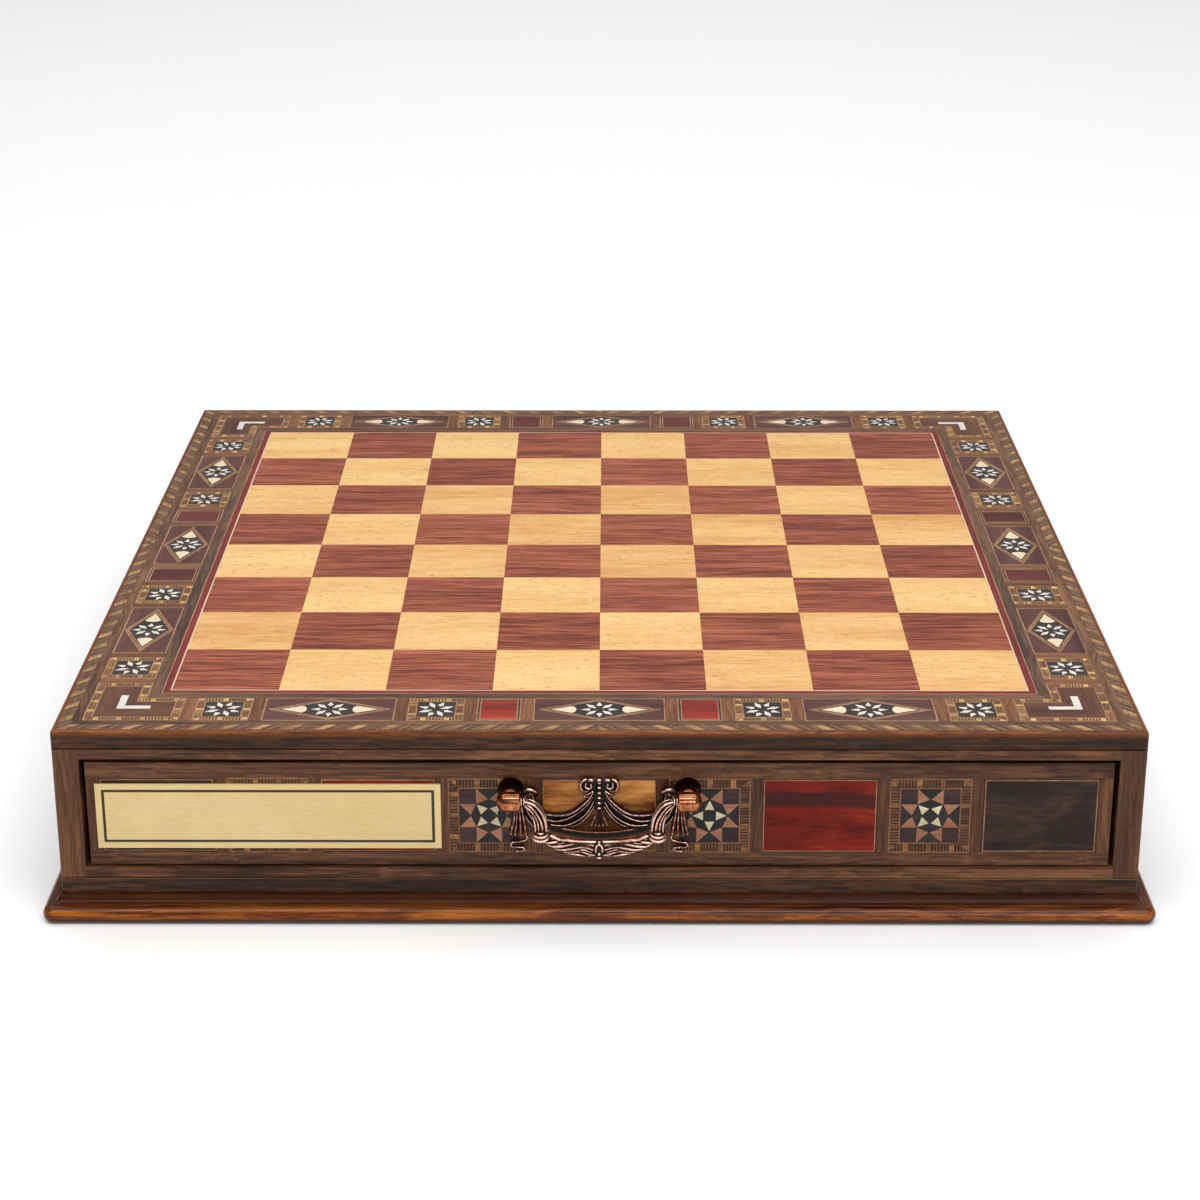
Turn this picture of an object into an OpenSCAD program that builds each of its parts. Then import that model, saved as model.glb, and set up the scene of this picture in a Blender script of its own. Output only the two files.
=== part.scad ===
// Chess box: a square case under a marquetry board, with a fitted drawer at each end.
// Every part is drawn where it sits in the closed box. The origin is the middle of the
// underside, +Z is up, and the front drawer faces -Y.

/* [Case] */
// Width and depth of the square case, over the top board
case_w = 400; // [384:4:520]
// Thickness of the top board, veneer included
top_t = 6.8; // [5:0.2:10]
// Thickness of the veneers and inlays
veneer_t = 0.6; // [0.4:0.1:1]
// Height of the rail over a drawer
top_rail_h = 4.4; // [3:0.2:8]
// Height of a drawer opening
opening_h = 44; // [40:1:64]
// Height of the rail under a drawer
bottom_rail_h = 4.6; // [3:0.2:8]
// Thickness of the bottom board
bottom_t = 5.9; // [4:0.1:9]
// Thickness of the left and right walls
wall_t = 9.6; // [8:0.2:16]
// Thickness of a rail, front to back
rail_d = 14; // [13:1:24]
// Thickness of the partition between the drawers
partition_t = 6; // [4:1:12]
// Radius of the upright corners
corner_r = 1; // [0.5:0.5:4]
// Height of the shadow line under the top board and over the bottom board
groove_h = 0.6; // [0.3:0.1:1]
// Depth of the shadow line
groove_d = 0.8; // [0.4:0.1:1.5]

/* [Base moulding] */
// Height of the base
base_h = 10; // [9:0.5:14]
// How far the base stands out from the case
base_out = 7; // [6.4:0.2:12]
// Width of a base length, flat under the case
base_w = 30; // [20:1:50]
// Radius of the bullnose
bull_r = 2.8; // [2:0.1:2.8]
// Height of the middle of the bullnose
bull_z = 2.6; // [2:0.1:2.8]
// Radius of the cove over it
cove_r = 2; // [1:0.1:2.4]
// Flat ledge between the case and the cove
ledge_w = 1.5; // [0.5:0.1:1.8]
// Height of the square fillet at the ledge
fillet_h = 0.8; // [0.4:0.1:1.2]
// Radius of the base's corners, seen from above
base_corner_r = 3; // [1:0.5:8]

/* [Board inlay] */
// Squares along one side of the board
squares = 8; // [8:2:10]
// Width of the lipping round the top board
lip_w = 1.8; // [1.4:0.1:3]
// Radius of the lipping's upper edge
edge_r = 1.2; // [0.4:0.1:1.4]
// Width of the rope banding
rope_w = 4.4; // [3:0.1:7]
// Width of the walnut outside the inlaid cells
margin_w = 3.7; // [2:0.1:8]
// Width of the band of inlaid cells
cell_w = 21; // [20:0.5:26]
// Walnut between one cell and the next
cell_gap = 4.6; // [3:0.1:8]
// Width of the walnut inside the inlaid cells
inner_w = 4.4; // [2:0.1:8]
// Width of the thin pale line outside the red one
outer_line_w = 0.4; // [0.3:0.1:0.8]
// Width of the red line round the squares
red_line_w = 2.5; // [1:0.1:5]
// Width of the white line round the squares
white_line_w = 0.6; // [0.4:0.1:1.5]
// Length of a red cell
red_l = 16.4; // [12:0.2:24]
// Length of a leg of a corner cell
corner_l = 35.5; // [32:0.5:44]
// Width of the mosaic round a star or a corner
mosaic_w = 3.5; // [2.5:0.1:4]
// Width of the pale line round a red or a diamond cell
line_w = 0.5; // [0.4:0.1:1]
// Width of the dark line between the two pale ones round a red cell
dark_line_w = 0.6; // [0.4:0.1:1.2]
// Distance from a diamond's tips to the ends of its cell
diamond_tip = 1.2; // [0.6:0.1:3]
// Width of the band round a diamond
diamond_band_w = 1.6; // [1:0.1:2.4]
// Reach of a star's points from its middle
star_r = 7; // [5:0.1:7]
// Length of the round end of a bone drop
drop_end = 1.8; // [1:0.1:3]
// Black wood between a bone drop and the band round it
drop_gap = 0.6; // [0.4:0.1:1.2]
// Width of an arm of the bone corner mark
mark_w = 2.8; // [1.5:0.1:4]
// Length of an arm of the bone corner mark
mark_l = 12.5; // [8:0.5:18]
// Glue line between neighbouring inlays
glue = 0.04; // [0.02:0.01:0.1]

/* [Drawers] */
// Gap at each side of a drawer front
side_gap = 1.8; // [0.5:0.1:3]
// Gap under a drawer front
under_gap = 0.7; // [0.4:0.1:1.5]
// Gap over a drawer front
over_gap = 2; // [0.6:0.1:3]
// How far a closed drawer front lies behind the rails
recess = 1.5; // [0.5:0.1:3]
// Thickness of a drawer front
front_t = 10; // [8:0.5:11]
// Thickness of a drawer's sides and back
side_t = 6; // [4:0.5:8]
// Height of a drawer's sides and back
side_h = 38; // [30:1:39]
// Thickness of a drawer's bottom
floor_t = 3; // [2:0.5:5]
// Height of the drawer's bottom over its lower edge
floor_up = 3; // [2:0.5:6]
// Depth of the groove that holds the bottom
housing_d = 2; // [1:0.5:3]
// Thickness of the felt
felt_t = 1; // [0.5:0.1:2]
// Thickness of the dividers
divider_t = 3; // [2:0.5:5]
// Height of the dividers
divider_h = 27; // [18:1:28]
// Piece cells across a drawer
piece_cells = 8; // [8:2:8]
// Gap behind a closed drawer
stop_gap = 0.5; // [0.2:0.1:2]
// Width of a drawer runner
runner_w = 13; // [8:1:20]
// Running gap under and over a drawer's sides
run_gap = 0.3; // [0.2:0.1:0.6]
// Glued fit of a panel in its groove
fit = 0.05; // [0.02:0.01:0.1]

/* [Drawer front inlay] */
// Height of the band of inlays, and width of a star cell in it
front_star_w = 30; // [26:0.2:34]
// How far the band's middle lies below the middle of the drawer front
band_drop = 0.6; // [0:0.1:2]
// Width of the mosaic round it
front_mosaic_w = 4.1; // [3:0.1:5]
// Width of the corner squares in it
patch_w = 6.2; // [4:0.1:7]
// Width of the dark line round a panel
outline_dark = 0.4; // [0.3:0.1:0.8]
// Width of the pale line inside it
outline_pale = 0.45; // [0.3:0.05:0.8]
// Reach of a tan point from the side of its tile
point_l = 4.2; // [3:0.1:6]
// Half the gap between two tan tips
tip_gap = 0.3; // [0.2:0.1:0.6]
// Half the width of a cream point's foot
cream_half = 1.8; // [1:0.1:2.4]
// Distance from the middle of the tile to a cream point's foot
cream_foot = 2.4; // [1.6:0.1:3]
// Length of a cream point
cream_l = 3.8; // [2:0.1:5]
// Walnut between one cell and the next
front_gap = 4.4; // [3:0.1:8]
// Walnut at each end of a drawer front
end_margin = 4.9; // [3:0.1:10]

/* [Name plate] */
// Width of the name plate
plate_w = 127; // [90:1:140]
// Height of the name plate
plate_h = 26; // [18:0.5:32]
// Thickness of the name plate
plate_t = 0.8; // [0.5:0.1:1.5]
// Distance of the engraved border from the edge
plate_inset = 2.3; // [1.5:0.1:4]
// Width of the engraved border
plate_line = 1.1; // [0.6:0.1:1.5]
// Walnut between the drawer's end and the plate
plate_margin = 3.3; // [1:0.1:6]

/* [Handle] */
// Distance from the handle's middle to each post
post_x = 32.5; // [30:0.5:38]
// Height of the pivots over the middle of the drawer front
pivot_up = 10.2; // [8:0.1:12]
// Distance from the drawer front to the pivots
pivot_out = 11; // [10.5:0.5:20]
// Radius of a post
post_r = 3.2; // [2.6:0.1:3.2]
// Radius of a socket
socket_r = 3.25; // [2.8:0.05:4]
// Length of the straight part of a socket
socket_l = 4.6; // [3:0.1:7]
// Radius of the bail's pins
pin_r = 1.25; // [1:0.05:1.5]
// Running clearance of a pin in its socket
pin_gap = 0.05; // [0.02:0.01:0.1]
// How far a pin goes into its socket
pin_in = 3.4; // [2:0.1:4]
// Thickness of the cast back plate
sheet_t = 1.4; // [1:0.1:2]
// Height of the raised lines, volutes and strands over it
raised = 1; // [0.5:0.1:1.5]
// Radius of the swag's flutes
rib_r = 0.9; // [0.7:0.05:1.1]
// Radius of the beads down the middle
bead_r = 0.95; // [0.6:0.05:1.2]
// Radius of a fixing screw
screw_r = 1.9; // [1.4:0.1:2]
// Clearance of a screw in the drawer front
screw_gap = 0.2; // [0.1:0.05:0.5]
// Depth of the screw in its post
screw_in = 7; // [4:0.5:8]
// Radius of a screw's head
head_r = 3.6; // [3:0.1:4.5]
// Height of a screw's head
head_h = 2.4; // [1.5:0.1:3]

/* [Hidden] */
$fn = 64;

// Heights
floor_z = base_h + bottom_t;
open_z = floor_z + bottom_rail_h;
rail_z = open_z + opening_h;
under_z = rail_z + top_rail_h;
top_z = under_z + top_t;
inlay_z = top_z - veneer_t;

// The board
half = case_w / 2;
field_in = lip_w + rope_w + margin_w + cell_w + inner_w + outer_line_w + red_line_w + white_line_w;
square_w = (case_w - 2 * field_in) / squares;
rope_in = lip_w;
veneer_in = rope_in + rope_w;
cell_in = veneer_in + margin_w;
line_in = cell_in + cell_w + inner_w;
red_in = line_in + outer_line_w;
white_in = red_in + red_line_w;
cell_y = cell_in + cell_w / 2 - half;
star_w = cell_w;
run = half - cell_in - corner_l;
diamond_l = (run - red_l - 2 * star_w - 5 * cell_gap) / 1.5;
red_x = diamond_l / 2 + cell_gap + red_l / 2;
star1_x = red_x + red_l / 2 + cell_gap + star_w / 2;
diamond_x = star1_x + star_w / 2 + cell_gap + diamond_l / 2;
star2_x = diamond_x + diamond_l / 2 + cell_gap + star_w / 2;
tile_half = star_w / 2 - mosaic_w;
gap_x = [star2_x + (star_w + cell_gap) / 2, star2_x - (star_w + cell_gap) / 2,
    diamond_x - (diamond_l + cell_gap) / 2, star1_x - (star_w + cell_gap) / 2,
    red_x - (red_l + cell_gap) / 2];
red_inset = 2 * line_w + dark_line_w;
rhomb_x = diamond_l / 2 - diamond_tip;
rhomb_y = cell_w / 2 - line_w - diamond_tip / 4;
field_x = rhomb_x - diamond_band_w * norm([rhomb_x, rhomb_y]) / rhomb_y;
field_y = rhomb_y - diamond_band_w * norm([rhomb_x, rhomb_y]) / rhomb_x;
drop_x = star_r + 1.5 + drop_end;

// The drawers
drawer_w = case_w - 2 * wall_t - 2 * side_gap;
drawer_h = opening_h - under_gap - over_gap;
drawer_z = open_z + under_gap;
face_y = recess - half;
inside_y = face_y + front_t;
end_y = -partition_t / 2 - stop_gap;
inside_w = drawer_w - 2 * side_t;
inside_d = end_y - side_t - inside_y;
cell_floor_z = drawer_z + floor_up + floor_t + felt_t;
row_d = (inside_d - divider_t) / 2;
divider_y = inside_y + row_d + divider_t / 2;
piece_pitch = inside_w / piece_cells;
panel_w = (drawer_w / 2 - end_margin - 2 * front_star_w - 4 * front_gap) / 2.5;
step_x = (panel_w + front_star_w) / 2 + front_gap;
star_a_x = step_x;
red_panel_x = 2 * step_x;
star_b_x = 3 * step_x;
dark_panel_x = 4 * step_x;
filler_x = [(panel_w + front_gap) / 2, star_a_x + (front_star_w + front_gap) / 2,
    red_panel_x + (panel_w + front_gap) / 2, star_b_x + (front_star_w + front_gap) / 2];
panel_size = [panel_w, front_star_w];
panel_inset = outline_dark + outline_pale;
front_tile = front_star_w - 2 * front_mosaic_w;
plate_x = plate_margin + plate_w / 2 - drawer_w / 2;

// The handle: x is measured from its middle and y from the pivots
socket_x = post_x - post_r - 0.4;
relief = sheet_t + raised;
swag_c = [post_x / 2, 3.5];
swag_r = 13.7;
swag_step = 1.72;
swag_start = 198;
swag_end = 286;
volute_c = [4.6, 2.3];
volute_r = 2.9;
volute_w = 1.4;
bead_top = 4.2;
bead_step = 2.2;
column_w = 2 * bead_r + 0.4;
bar_x = post_x - 13;
bar_low = -18;
bar_high = -14.8;
bar_w = 2.4;
bar_r = (bar_x * bar_x + pow(bar_high - bar_low, 2)) / (2 * (bar_high - bar_low));
bar_span = asin(bar_x / bar_r);
tassel_top = -7.6;
tassel_l = 6.4;
tail_x = post_x - 2.8;
tail_top = -2;
tail_l = 15;
ear_c = [post_x - 7.2, -0.7];
ear_r = 2.3;
line_t = 1.1;
boss_l = 2.2;
boss_r = 1.6;
boss_x = socket_x - boss_l - 0.3;
arm_c = [post_x - 2.8, -10];
arm_fan = [0.95, 0.2];
arm_r = 10.4;
arm_end = 192;
flute_r = 0.9;
collar_c = [post_x - 11, -12.9];
grip_r = 60;
grip_low = -16.4;
grip_step = 1.75;
grip_c = [0, grip_r + grip_low];
grip_x = [post_x - 12, post_x - 13.5, post_x - 17.6, post_x - 23];
bud_y = -19.2;
bud_r = 2.2;

// Outlines ------------------------------------------------------------------

// Points on an arc about c, from angle a to angle b
function arc(c, r, a, b, n = 12) =
    [for (i = [0:n]) c + r * [cos(a + (b - a) * i / n), sin(a + (b - a) * i / n)]];

// Point i of a path, moved w to its left
function beside(path, i, w) =
    let(a = path[max(i - 1, 0)], b = path[min(i + 1, len(path) - 1)], d = (b - a) / norm(b - a))
    path[i] + w * [-d[1], d[0]];

// A strip of width w along a path
module ribbon(path, w) {
    last = len(path) - 1;
    polygon(concat([for (i = [0:last]) beside(path, i, w / 2)],
        [for (i = [last:-1:0]) beside(path, i, -w / 2)]));
}

module rounded_square(w, r) {
    square([w - 2 * r, w], center = true);
    square([w, w - 2 * r], center = true);
    for (x = [-1, 1], y = [-1, 1])
        translate([x * (w / 2 - r), y * (w / 2 - r)]) circle(r);
}

// What lies between two distances from the edge of a rectangle, less the glue lines
module ring(size, from, to) {
    difference() {
        square([size[0] - 2 * from - glue, size[1] - 2 * from - glue], center = true);
        square([size[0] - 2 * to + glue, size[1] - 2 * to + glue], center = true);
    }
}

module tile(size) {
    square([size[0] - glue, size[1] - glue], center = true);
}

module rhomb(x, y) {
    polygon([[x, 0], [0, y], [-x, 0], [0, -y]]);
}

// Outline of a corner cell, drawn from the corner of the board, s inside its edge
module corner_shape(s) {
    a = cell_in + s;
    b = cell_in + cell_w - s;
    c = cell_in + corner_l - s;
    polygon([[a, a], [c, a], [c, b], [b, b], [b, c], [a, c]]);
}

// Places --------------------------------------------------------------------

module four_sides() {
    for (k = [0:3]) rotate([0, 0, 90 * k]) children();
}

module mirrored() {
    children();
    mirror([1, 0, 0]) children();
}

module rear() {
    rotate([0, 0, 180]) children();
}

// The quarter of the plan that belongs to the front side, cut at the mitres
module front_quarter(z, h) {
    reach = half + base_out + 1;
    translate([0, 0, z])
        linear_extrude(h)
            polygon([[0, -glue], [reach, -reach - glue], [-reach, -reach - glue]]);
}

// Cells of one kind on all four sides, as inlays flush with the top
module top_inlay(places) {
    four_sides()
        for (x = places)
            translate([x, cell_y, inlay_z]) linear_extrude(veneer_t) children();
}

// An outline in each corner of the board
module corner_inlay() {
    four_sides()
        translate([-half, -half, inlay_z]) linear_extrude(veneer_t) children();
}

// From here x runs across the drawer front, y up it and z out of it
module on_face() {
    translate([0, face_y, drawer_z + drawer_h / 2]) rotate([90, 0, 0]) children();
}

module at_pivot() {
    on_face() translate([0, pivot_up, 0]) children();
}

// Inlays flush with the drawer front
module face_inlay(places) {
    on_face()
        for (x = places)
            translate([x, -band_drop, -veneer_t]) linear_extrude(veneer_t) children();
}

// Top board -----------------------------------------------------------------

module top_panel() {
    color("peru")
        translate([0, 0, under_z])
            linear_extrude(top_t - veneer_t)
                square(case_w - 2 * lip_w - glue, center = true);
}

module lip_profile() {
    polygon(concat([[0, 0], [lip_w, 0], [lip_w, top_t]],
        arc([edge_r, top_t - edge_r], edge_r, 90, 180, 8)));
}

module edge_lipping() {
    color("saddlebrown")
        four_sides()
            intersection() {
                translate([-half, -half, under_z])
                    rotate([90, 0, 90]) linear_extrude(case_w) lip_profile();
                front_quarter(under_z - 1, top_t + 2);
                translate([0, 0, under_z]) linear_extrude(top_t) rounded_square(case_w, corner_r);
            }
}

module mitred_strip(inset, w, z, h) {
    four_sides()
        intersection() {
            translate([-half + inset, -half + inset + glue / 2, z])
                cube([case_w - 2 * inset, w - glue, h]);
            front_quarter(z - 1, h + 2);
        }
}

module rope_banding() {
    color("burlywood") mitred_strip(rope_in, rope_w, inlay_z, veneer_t);
}

// Long strips outside and inside the cells, with a block across between each two cells
module border_veneer() {
    color("dimgray") {
        mitred_strip(veneer_in, margin_w, inlay_z, veneer_t);
        mitred_strip(cell_in + cell_w, inner_w, inlay_z, veneer_t);
        top_inlay(concat(gap_x, -gap_x)) tile([cell_gap, cell_w]);
        top_inlay([-red_x, red_x]) ring([red_l, cell_w], line_w, line_w + dark_line_w);
    }
}

// Eight bone points: four long rhombs and, between them, four short kites
module star_shape(turn, r) {
    wide = 0.165 * r;
    long_foot = 0.2 * r;
    long_waist = 0.6 * r;
    kite_foot = 0.46 * r;
    kite_waist = 0.56 * r;
    for (k = [0:3]) {
        rotate(turn + 90 * k)
            polygon([[long_foot, 0], [long_waist, wide], [r, 0], [long_waist, -wide]]);
        rotate(turn + 45 + 90 * k)
            polygon([[kite_foot, 0], [kite_waist, wide], [r, 0], [kite_waist, -wide]]);
    }
}

// Pointed outwards, with a round inner end
module drop_shape() {
    half_w = (field_x - drop_x) * field_y / field_x - drop_gap;
    polygon(concat([[field_x - 2 * drop_gap, 0], [drop_x, half_w]],
        [for (a = [75:-25:-75]) [drop_x - drop_end * cos(a), half_w * sin(a)]],
        [[drop_x, -half_w]]));
}

module diamond_grounds() {
    color("rosybrown")
        top_inlay([-diamond_x, 0, diamond_x])
            difference() {
                tile([diamond_l - 2 * line_w, cell_w - 2 * line_w]);
                rhomb(rhomb_x + glue, rhomb_y);
            }
}

module diamond_bands() {
    color("tan")
        top_inlay([-diamond_x, 0, diamond_x])
            difference() {
                rhomb(rhomb_x - glue, rhomb_y - glue);
                rhomb(field_x, field_y);
            }
}

module diamond_fields() {
    color("black")
        top_inlay([-diamond_x, 0, diamond_x])
            difference() {
                rhomb(field_x - 4 * glue, field_y - glue);
                star_shape(45, star_r);
                mirrored() drop_shape();
            }
}

module bone_drops() {
    color("ivory")
        top_inlay([-diamond_x, 0, diamond_x]) mirrored() drop_shape();
}

module bone_stars() {
    color("white") {
        top_inlay([-diamond_x, 0, diamond_x]) star_shape(45, star_r);
        top_inlay([-star2_x, -star1_x, star1_x, star2_x]) star_shape(22.5, star_r);
    }
}

module star_grounds() {
    color("black")
        top_inlay([-star2_x, -star1_x, star1_x, star2_x])
            difference() {
                tile([2 * tile_half, 2 * tile_half]);
                star_shape(22.5, star_r);
            }
}

module star_mosaics() {
    color("tan")
        top_inlay([-star2_x, -star1_x, star1_x, star2_x])
            ring([star_w, cell_w], 0, mosaic_w);
}

module red_cells() {
    color("firebrick")
        top_inlay([-red_x, red_x]) tile([red_l - 2 * red_inset, cell_w - 2 * red_inset]);
}

// Pale lines round the diamond and red cells, and the outermost line round the squares
module cell_lines() {
    color("wheat") {
        top_inlay([-diamond_x, 0, diamond_x]) ring([diamond_l, cell_w], 0, line_w);
        top_inlay([-red_x, red_x]) {
            ring([red_l, cell_w], 0, line_w);
            ring([red_l, cell_w], line_w + dark_line_w, red_inset);
        }
        mitred_strip(line_in, outer_line_w, inlay_z, veneer_t);
    }
}

module corner_mosaics() {
    color("tan")
        corner_inlay()
            difference() {
                corner_shape(glue / 2);
                corner_shape(mosaic_w);
            }
}

module mark_shape() {
    a = cell_in + cell_w / 2 + mark_w / 2 - 1;
    polygon([[a, a], [a + mark_l, a], [a + mark_l, a + mark_w], [a + mark_w, a + mark_w],
        [a + mark_w, a + mark_l], [a, a + mark_l]]);
}

module corner_panels() {
    color("sienna")
        corner_inlay()
            difference() {
                corner_shape(mosaic_w + glue);
                mark_shape();
            }
}

module corner_marks() {
    color("ivory") corner_inlay() mark_shape();
}

module red_line() {
    color("firebrick") mitred_strip(red_in, red_line_w, inlay_z, veneer_t);
}

module white_line() {
    color("white") mitred_strip(white_in, white_line_w, inlay_z, veneer_t);
}

// The squares of one colour, dark at the near left corner
module board_squares(parity) {
    for (i = [0:squares - 1], j = [0:squares - 1])
        if ((i + j) % 2 == parity)
            translate([(i + 0.5 - squares / 2) * square_w, (j + 0.5 - squares / 2) * square_w, inlay_z])
                linear_extrude(veneer_t) tile([square_w, square_w]);
}

module light_squares() {
    color("burlywood") board_squares(1);
}

module dark_squares() {
    color("sienna") board_squares(0);
}

// Case ----------------------------------------------------------------------

// An outline stood up between the bottom and the top board, with both shadow lines
module case_height() {
    translate([0, 0, floor_z]) linear_extrude(under_z - floor_z) children(0);
    translate([0, 0, floor_z + groove_h])
        linear_extrude(under_z - floor_z - 2 * groove_h) children(1);
}

module wall() {
    case_height() {
        intersection() {
            rounded_square(case_w - 2 * groove_d, corner_r);
            translate([half - wall_t, -half]) square([wall_t, case_w]);
        }
        intersection() {
            rounded_square(case_w, corner_r);
            translate([half - wall_t, -half]) square([wall_t, case_w]);
        }
    }
}

module right_wall() {
    color("saddlebrown") wall();
}

module left_wall() {
    color("saddlebrown") mirror([1, 0, 0]) wall();
}

// A rail between the walls, from z to z + h, with its shadow line at groove_z
module rail(z, h, groove_z) {
    w = case_w - 2 * wall_t;
    difference() {
        translate([-w / 2, -half, z]) cube([w, rail_d, h]);
        translate([-w / 2 - 1, -half - 1, groove_z]) cube([w + 2, groove_d + 1, groove_h]);
    }
}

module top_rail() {
    color("sienna") rail(rail_z, top_rail_h, under_z - groove_h);
}

module bottom_rail() {
    color("sienna") rail(floor_z, bottom_rail_h, floor_z);
}

module front_top_rail() top_rail();
module front_bottom_rail() bottom_rail();
module rear_top_rail() rear() top_rail();
module rear_bottom_rail() rear() bottom_rail();

module bottom_board() {
    color("saddlebrown")
        translate([0, 0, base_h]) linear_extrude(bottom_t) rounded_square(case_w, corner_r);
}

// The base's section: x is measured out from the case, y up from the table
module base_profile() {
    bull = [base_out - bull_r, bull_z];
    toe = asin(bull_z / bull_r);
    cove = [ledge_w + cove_r, base_h - fillet_h];
    polygon(concat([[base_out - base_w, 0]], arc(bull, bull_r, -toe, 90, 14),
        [[cove[0], bull_z + bull_r]], arc(cove, cove_r, 270, 180, 8),
        [[ledge_w, base_h], [base_out - base_w, base_h]]));
}

module base_moulding() {
    outer = case_w + 2 * base_out;
    color("chocolate")
        four_sides()
            intersection() {
                translate([-outer / 2, -half, 0])
                    mirror([0, 1, 0]) rotate([90, 0, 90]) linear_extrude(outer) base_profile();
                front_quarter(-1, base_h + 2);
                linear_extrude(base_h) rounded_square(outer, base_corner_r);
            }
}

module partition() {
    w = case_w - 2 * wall_t;
    color("tan")
        translate([-w / 2, -partition_t / 2, floor_z]) cube([w, partition_t, under_z - floor_z]);
}

// A strip along each wall on both sides of the partition, from z to z + h
module strips(z, h) {
    l = half - rail_d - partition_t / 2;
    for (side = [0, 180])
        rotate([0, 0, side])
            mirrored()
                translate([half - wall_t - runner_w, -half + rail_d, z]) cube([runner_w, l, h]);
}

module drawer_runners() {
    color("tan") strips(floor_z, drawer_z - run_gap - floor_z);
}

module drawer_kickers() {
    low = drawer_z + side_h + run_gap;
    color("tan") strips(low, under_z - low);
}

// Drawer --------------------------------------------------------------------

module screw_holes(r) {
    at_pivot()
        mirrored() translate([post_x, 0, -front_t - 1]) cylinder(r = r, h = front_t + 2);
}

// The band of inlays lies in a rebate that runs from end to end
module drawer_front() {
    color("saddlebrown")
        difference() {
            translate([-drawer_w / 2, face_y, drawer_z]) cube([drawer_w, front_t, drawer_h]);
            on_face()
                translate([-drawer_w / 2 - 1, -band_drop - front_star_w / 2, -veneer_t])
                    cube([drawer_w + 2, front_star_w, veneer_t + 1]);
            screw_holes(screw_r + screw_gap);
            drawer_housing();
        }
}

// The groove for the drawer bottom, as the space that it takes
module drawer_housing() {
    w = inside_w + 2 * housing_d + 2 * fit;
    translate([-w / 2, inside_y - housing_d - fit, drawer_z + floor_up - fit])
        cube([w, inside_d + 2 * housing_d + 2 * fit, floor_t + 2 * fit]);
}

module drawer_sides() {
    color("burlywood")
        mirrored()
            difference() {
                translate([inside_w / 2, inside_y, drawer_z]) cube([side_t, end_y - inside_y, side_h]);
                drawer_housing();
            }
}

module drawer_back() {
    color("burlywood")
        difference() {
            translate([-inside_w / 2, end_y - side_t, drawer_z]) cube([inside_w, side_t, side_h]);
            drawer_housing();
        }
}

module drawer_bottom() {
    w = inside_w + 2 * housing_d;
    color("tan")
        translate([-w / 2, inside_y - housing_d, drawer_z + floor_up])
            cube([w, inside_d + 2 * housing_d, floor_t]);
}

module drawer_felt() {
    color("darkgreen")
        translate([-inside_w / 2 + run_gap, inside_y + run_gap, cell_floor_z - felt_t])
            cube([inside_w - 2 * run_gap, inside_d - 2 * run_gap, felt_t]);
}

// The dividers cross in halving joints: this one is cut from above
module long_divider() {
    slot = divider_t + 2 * fit;
    color("tan")
        difference() {
            translate([-inside_w / 2, divider_y - divider_t / 2, cell_floor_z])
                cube([inside_w, divider_t, divider_h]);
            for (k = [-2, 0, 2])
                translate([k * piece_pitch - slot / 2, divider_y - divider_t, cell_floor_z + divider_h / 2])
                    cube([slot, 2 * divider_t, divider_h]);
        }
}

// Three run from front to back, cut from below; the four between them part the pieces' row
module cross_dividers() {
    slot = divider_t + 2 * fit;
    color("tan") {
        for (k = [-2, 0, 2])
            difference() {
                translate([k * piece_pitch - divider_t / 2, inside_y, cell_floor_z])
                    cube([divider_t, inside_d, divider_h]);
                translate([k * piece_pitch - divider_t, divider_y - slot / 2, cell_floor_z - 1])
                    cube([2 * divider_t, slot, divider_h / 2 + 1 + fit]);
            }
        for (k = [-3, -1, 1, 3])
            translate([k * piece_pitch - divider_t / 2, inside_y, cell_floor_z])
                cube([divider_t, row_d, divider_h]);
    }
}

// Drawer front inlay --------------------------------------------------------

// Figured panels in their outlines, with walnut between the cells and at the ends
module panels() {
    color("brown")
        difference() {
            union() {
                face_inlay([-dark_panel_x, -red_panel_x, 0, red_panel_x, dark_panel_x]) {
                    ring(panel_size, 0, outline_dark);
                    ring(panel_size, outline_dark, panel_inset);
                    tile([panel_w - 2 * panel_inset, front_star_w - 2 * panel_inset]);
                }
                face_inlay(concat(filler_x, -filler_x)) tile([front_gap, front_star_w]);
                face_inlay([(end_margin - drawer_w) / 2, (drawer_w - end_margin) / 2])
                    tile([end_margin, front_star_w]);
            }
            screw_holes(screw_r + screw_gap);
        }
}

// Two points on each side of the tile, then the four points round its middle
module point_shape(cross) {
    edge = front_tile / 2;
    foot = edge - patch_w;
    for (k = [0:3])
        rotate(90 * k) {
            for (s = [-1, 1])
                polygon([[s * foot, edge - glue], [s * foot, foot + glue], [s * tip_gap, edge - point_l]]);
            rotate(cross ? 45 : 0)
                polygon([[-cream_half, cream_foot], [cream_half, cream_foot], [0, cream_foot + cream_l]]);
        }
}

module star_points() {
    color("wheat")
        difference() {
            union() {
                face_inlay([-star_b_x, star_a_x]) point_shape(false);
                face_inlay([-star_a_x, star_b_x]) point_shape(true);
            }
            screw_holes(screw_r + screw_gap);
        }
}

// Purple squares in the corners of each tile
module patches() {
    middle = (front_tile - patch_w) / 2;
    for (x = [-middle, middle], y = [-middle, middle])
        translate([x, y]) tile([patch_w, patch_w]);
}

// The black cross between the squares, cut out for the points
module ground_shape(cross) {
    difference() {
        tile([front_tile, front_tile]);
        point_shape(cross);
        for (x = [-1, 1], y = [-1, 1])
            translate([x * front_tile / 2, y * front_tile / 2]) square(2 * patch_w, center = true);
    }
}

module star_ground_tiles() {
    color("black")
        difference() {
            union() {
                face_inlay([-star_b_x, star_a_x]) ground_shape(false);
                face_inlay([-star_a_x, star_b_x]) ground_shape(true);
                face_inlay([-star_b_x, -star_a_x, star_a_x, star_b_x]) patches();
            }
            screw_holes(screw_r + screw_gap);
        }
}

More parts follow.
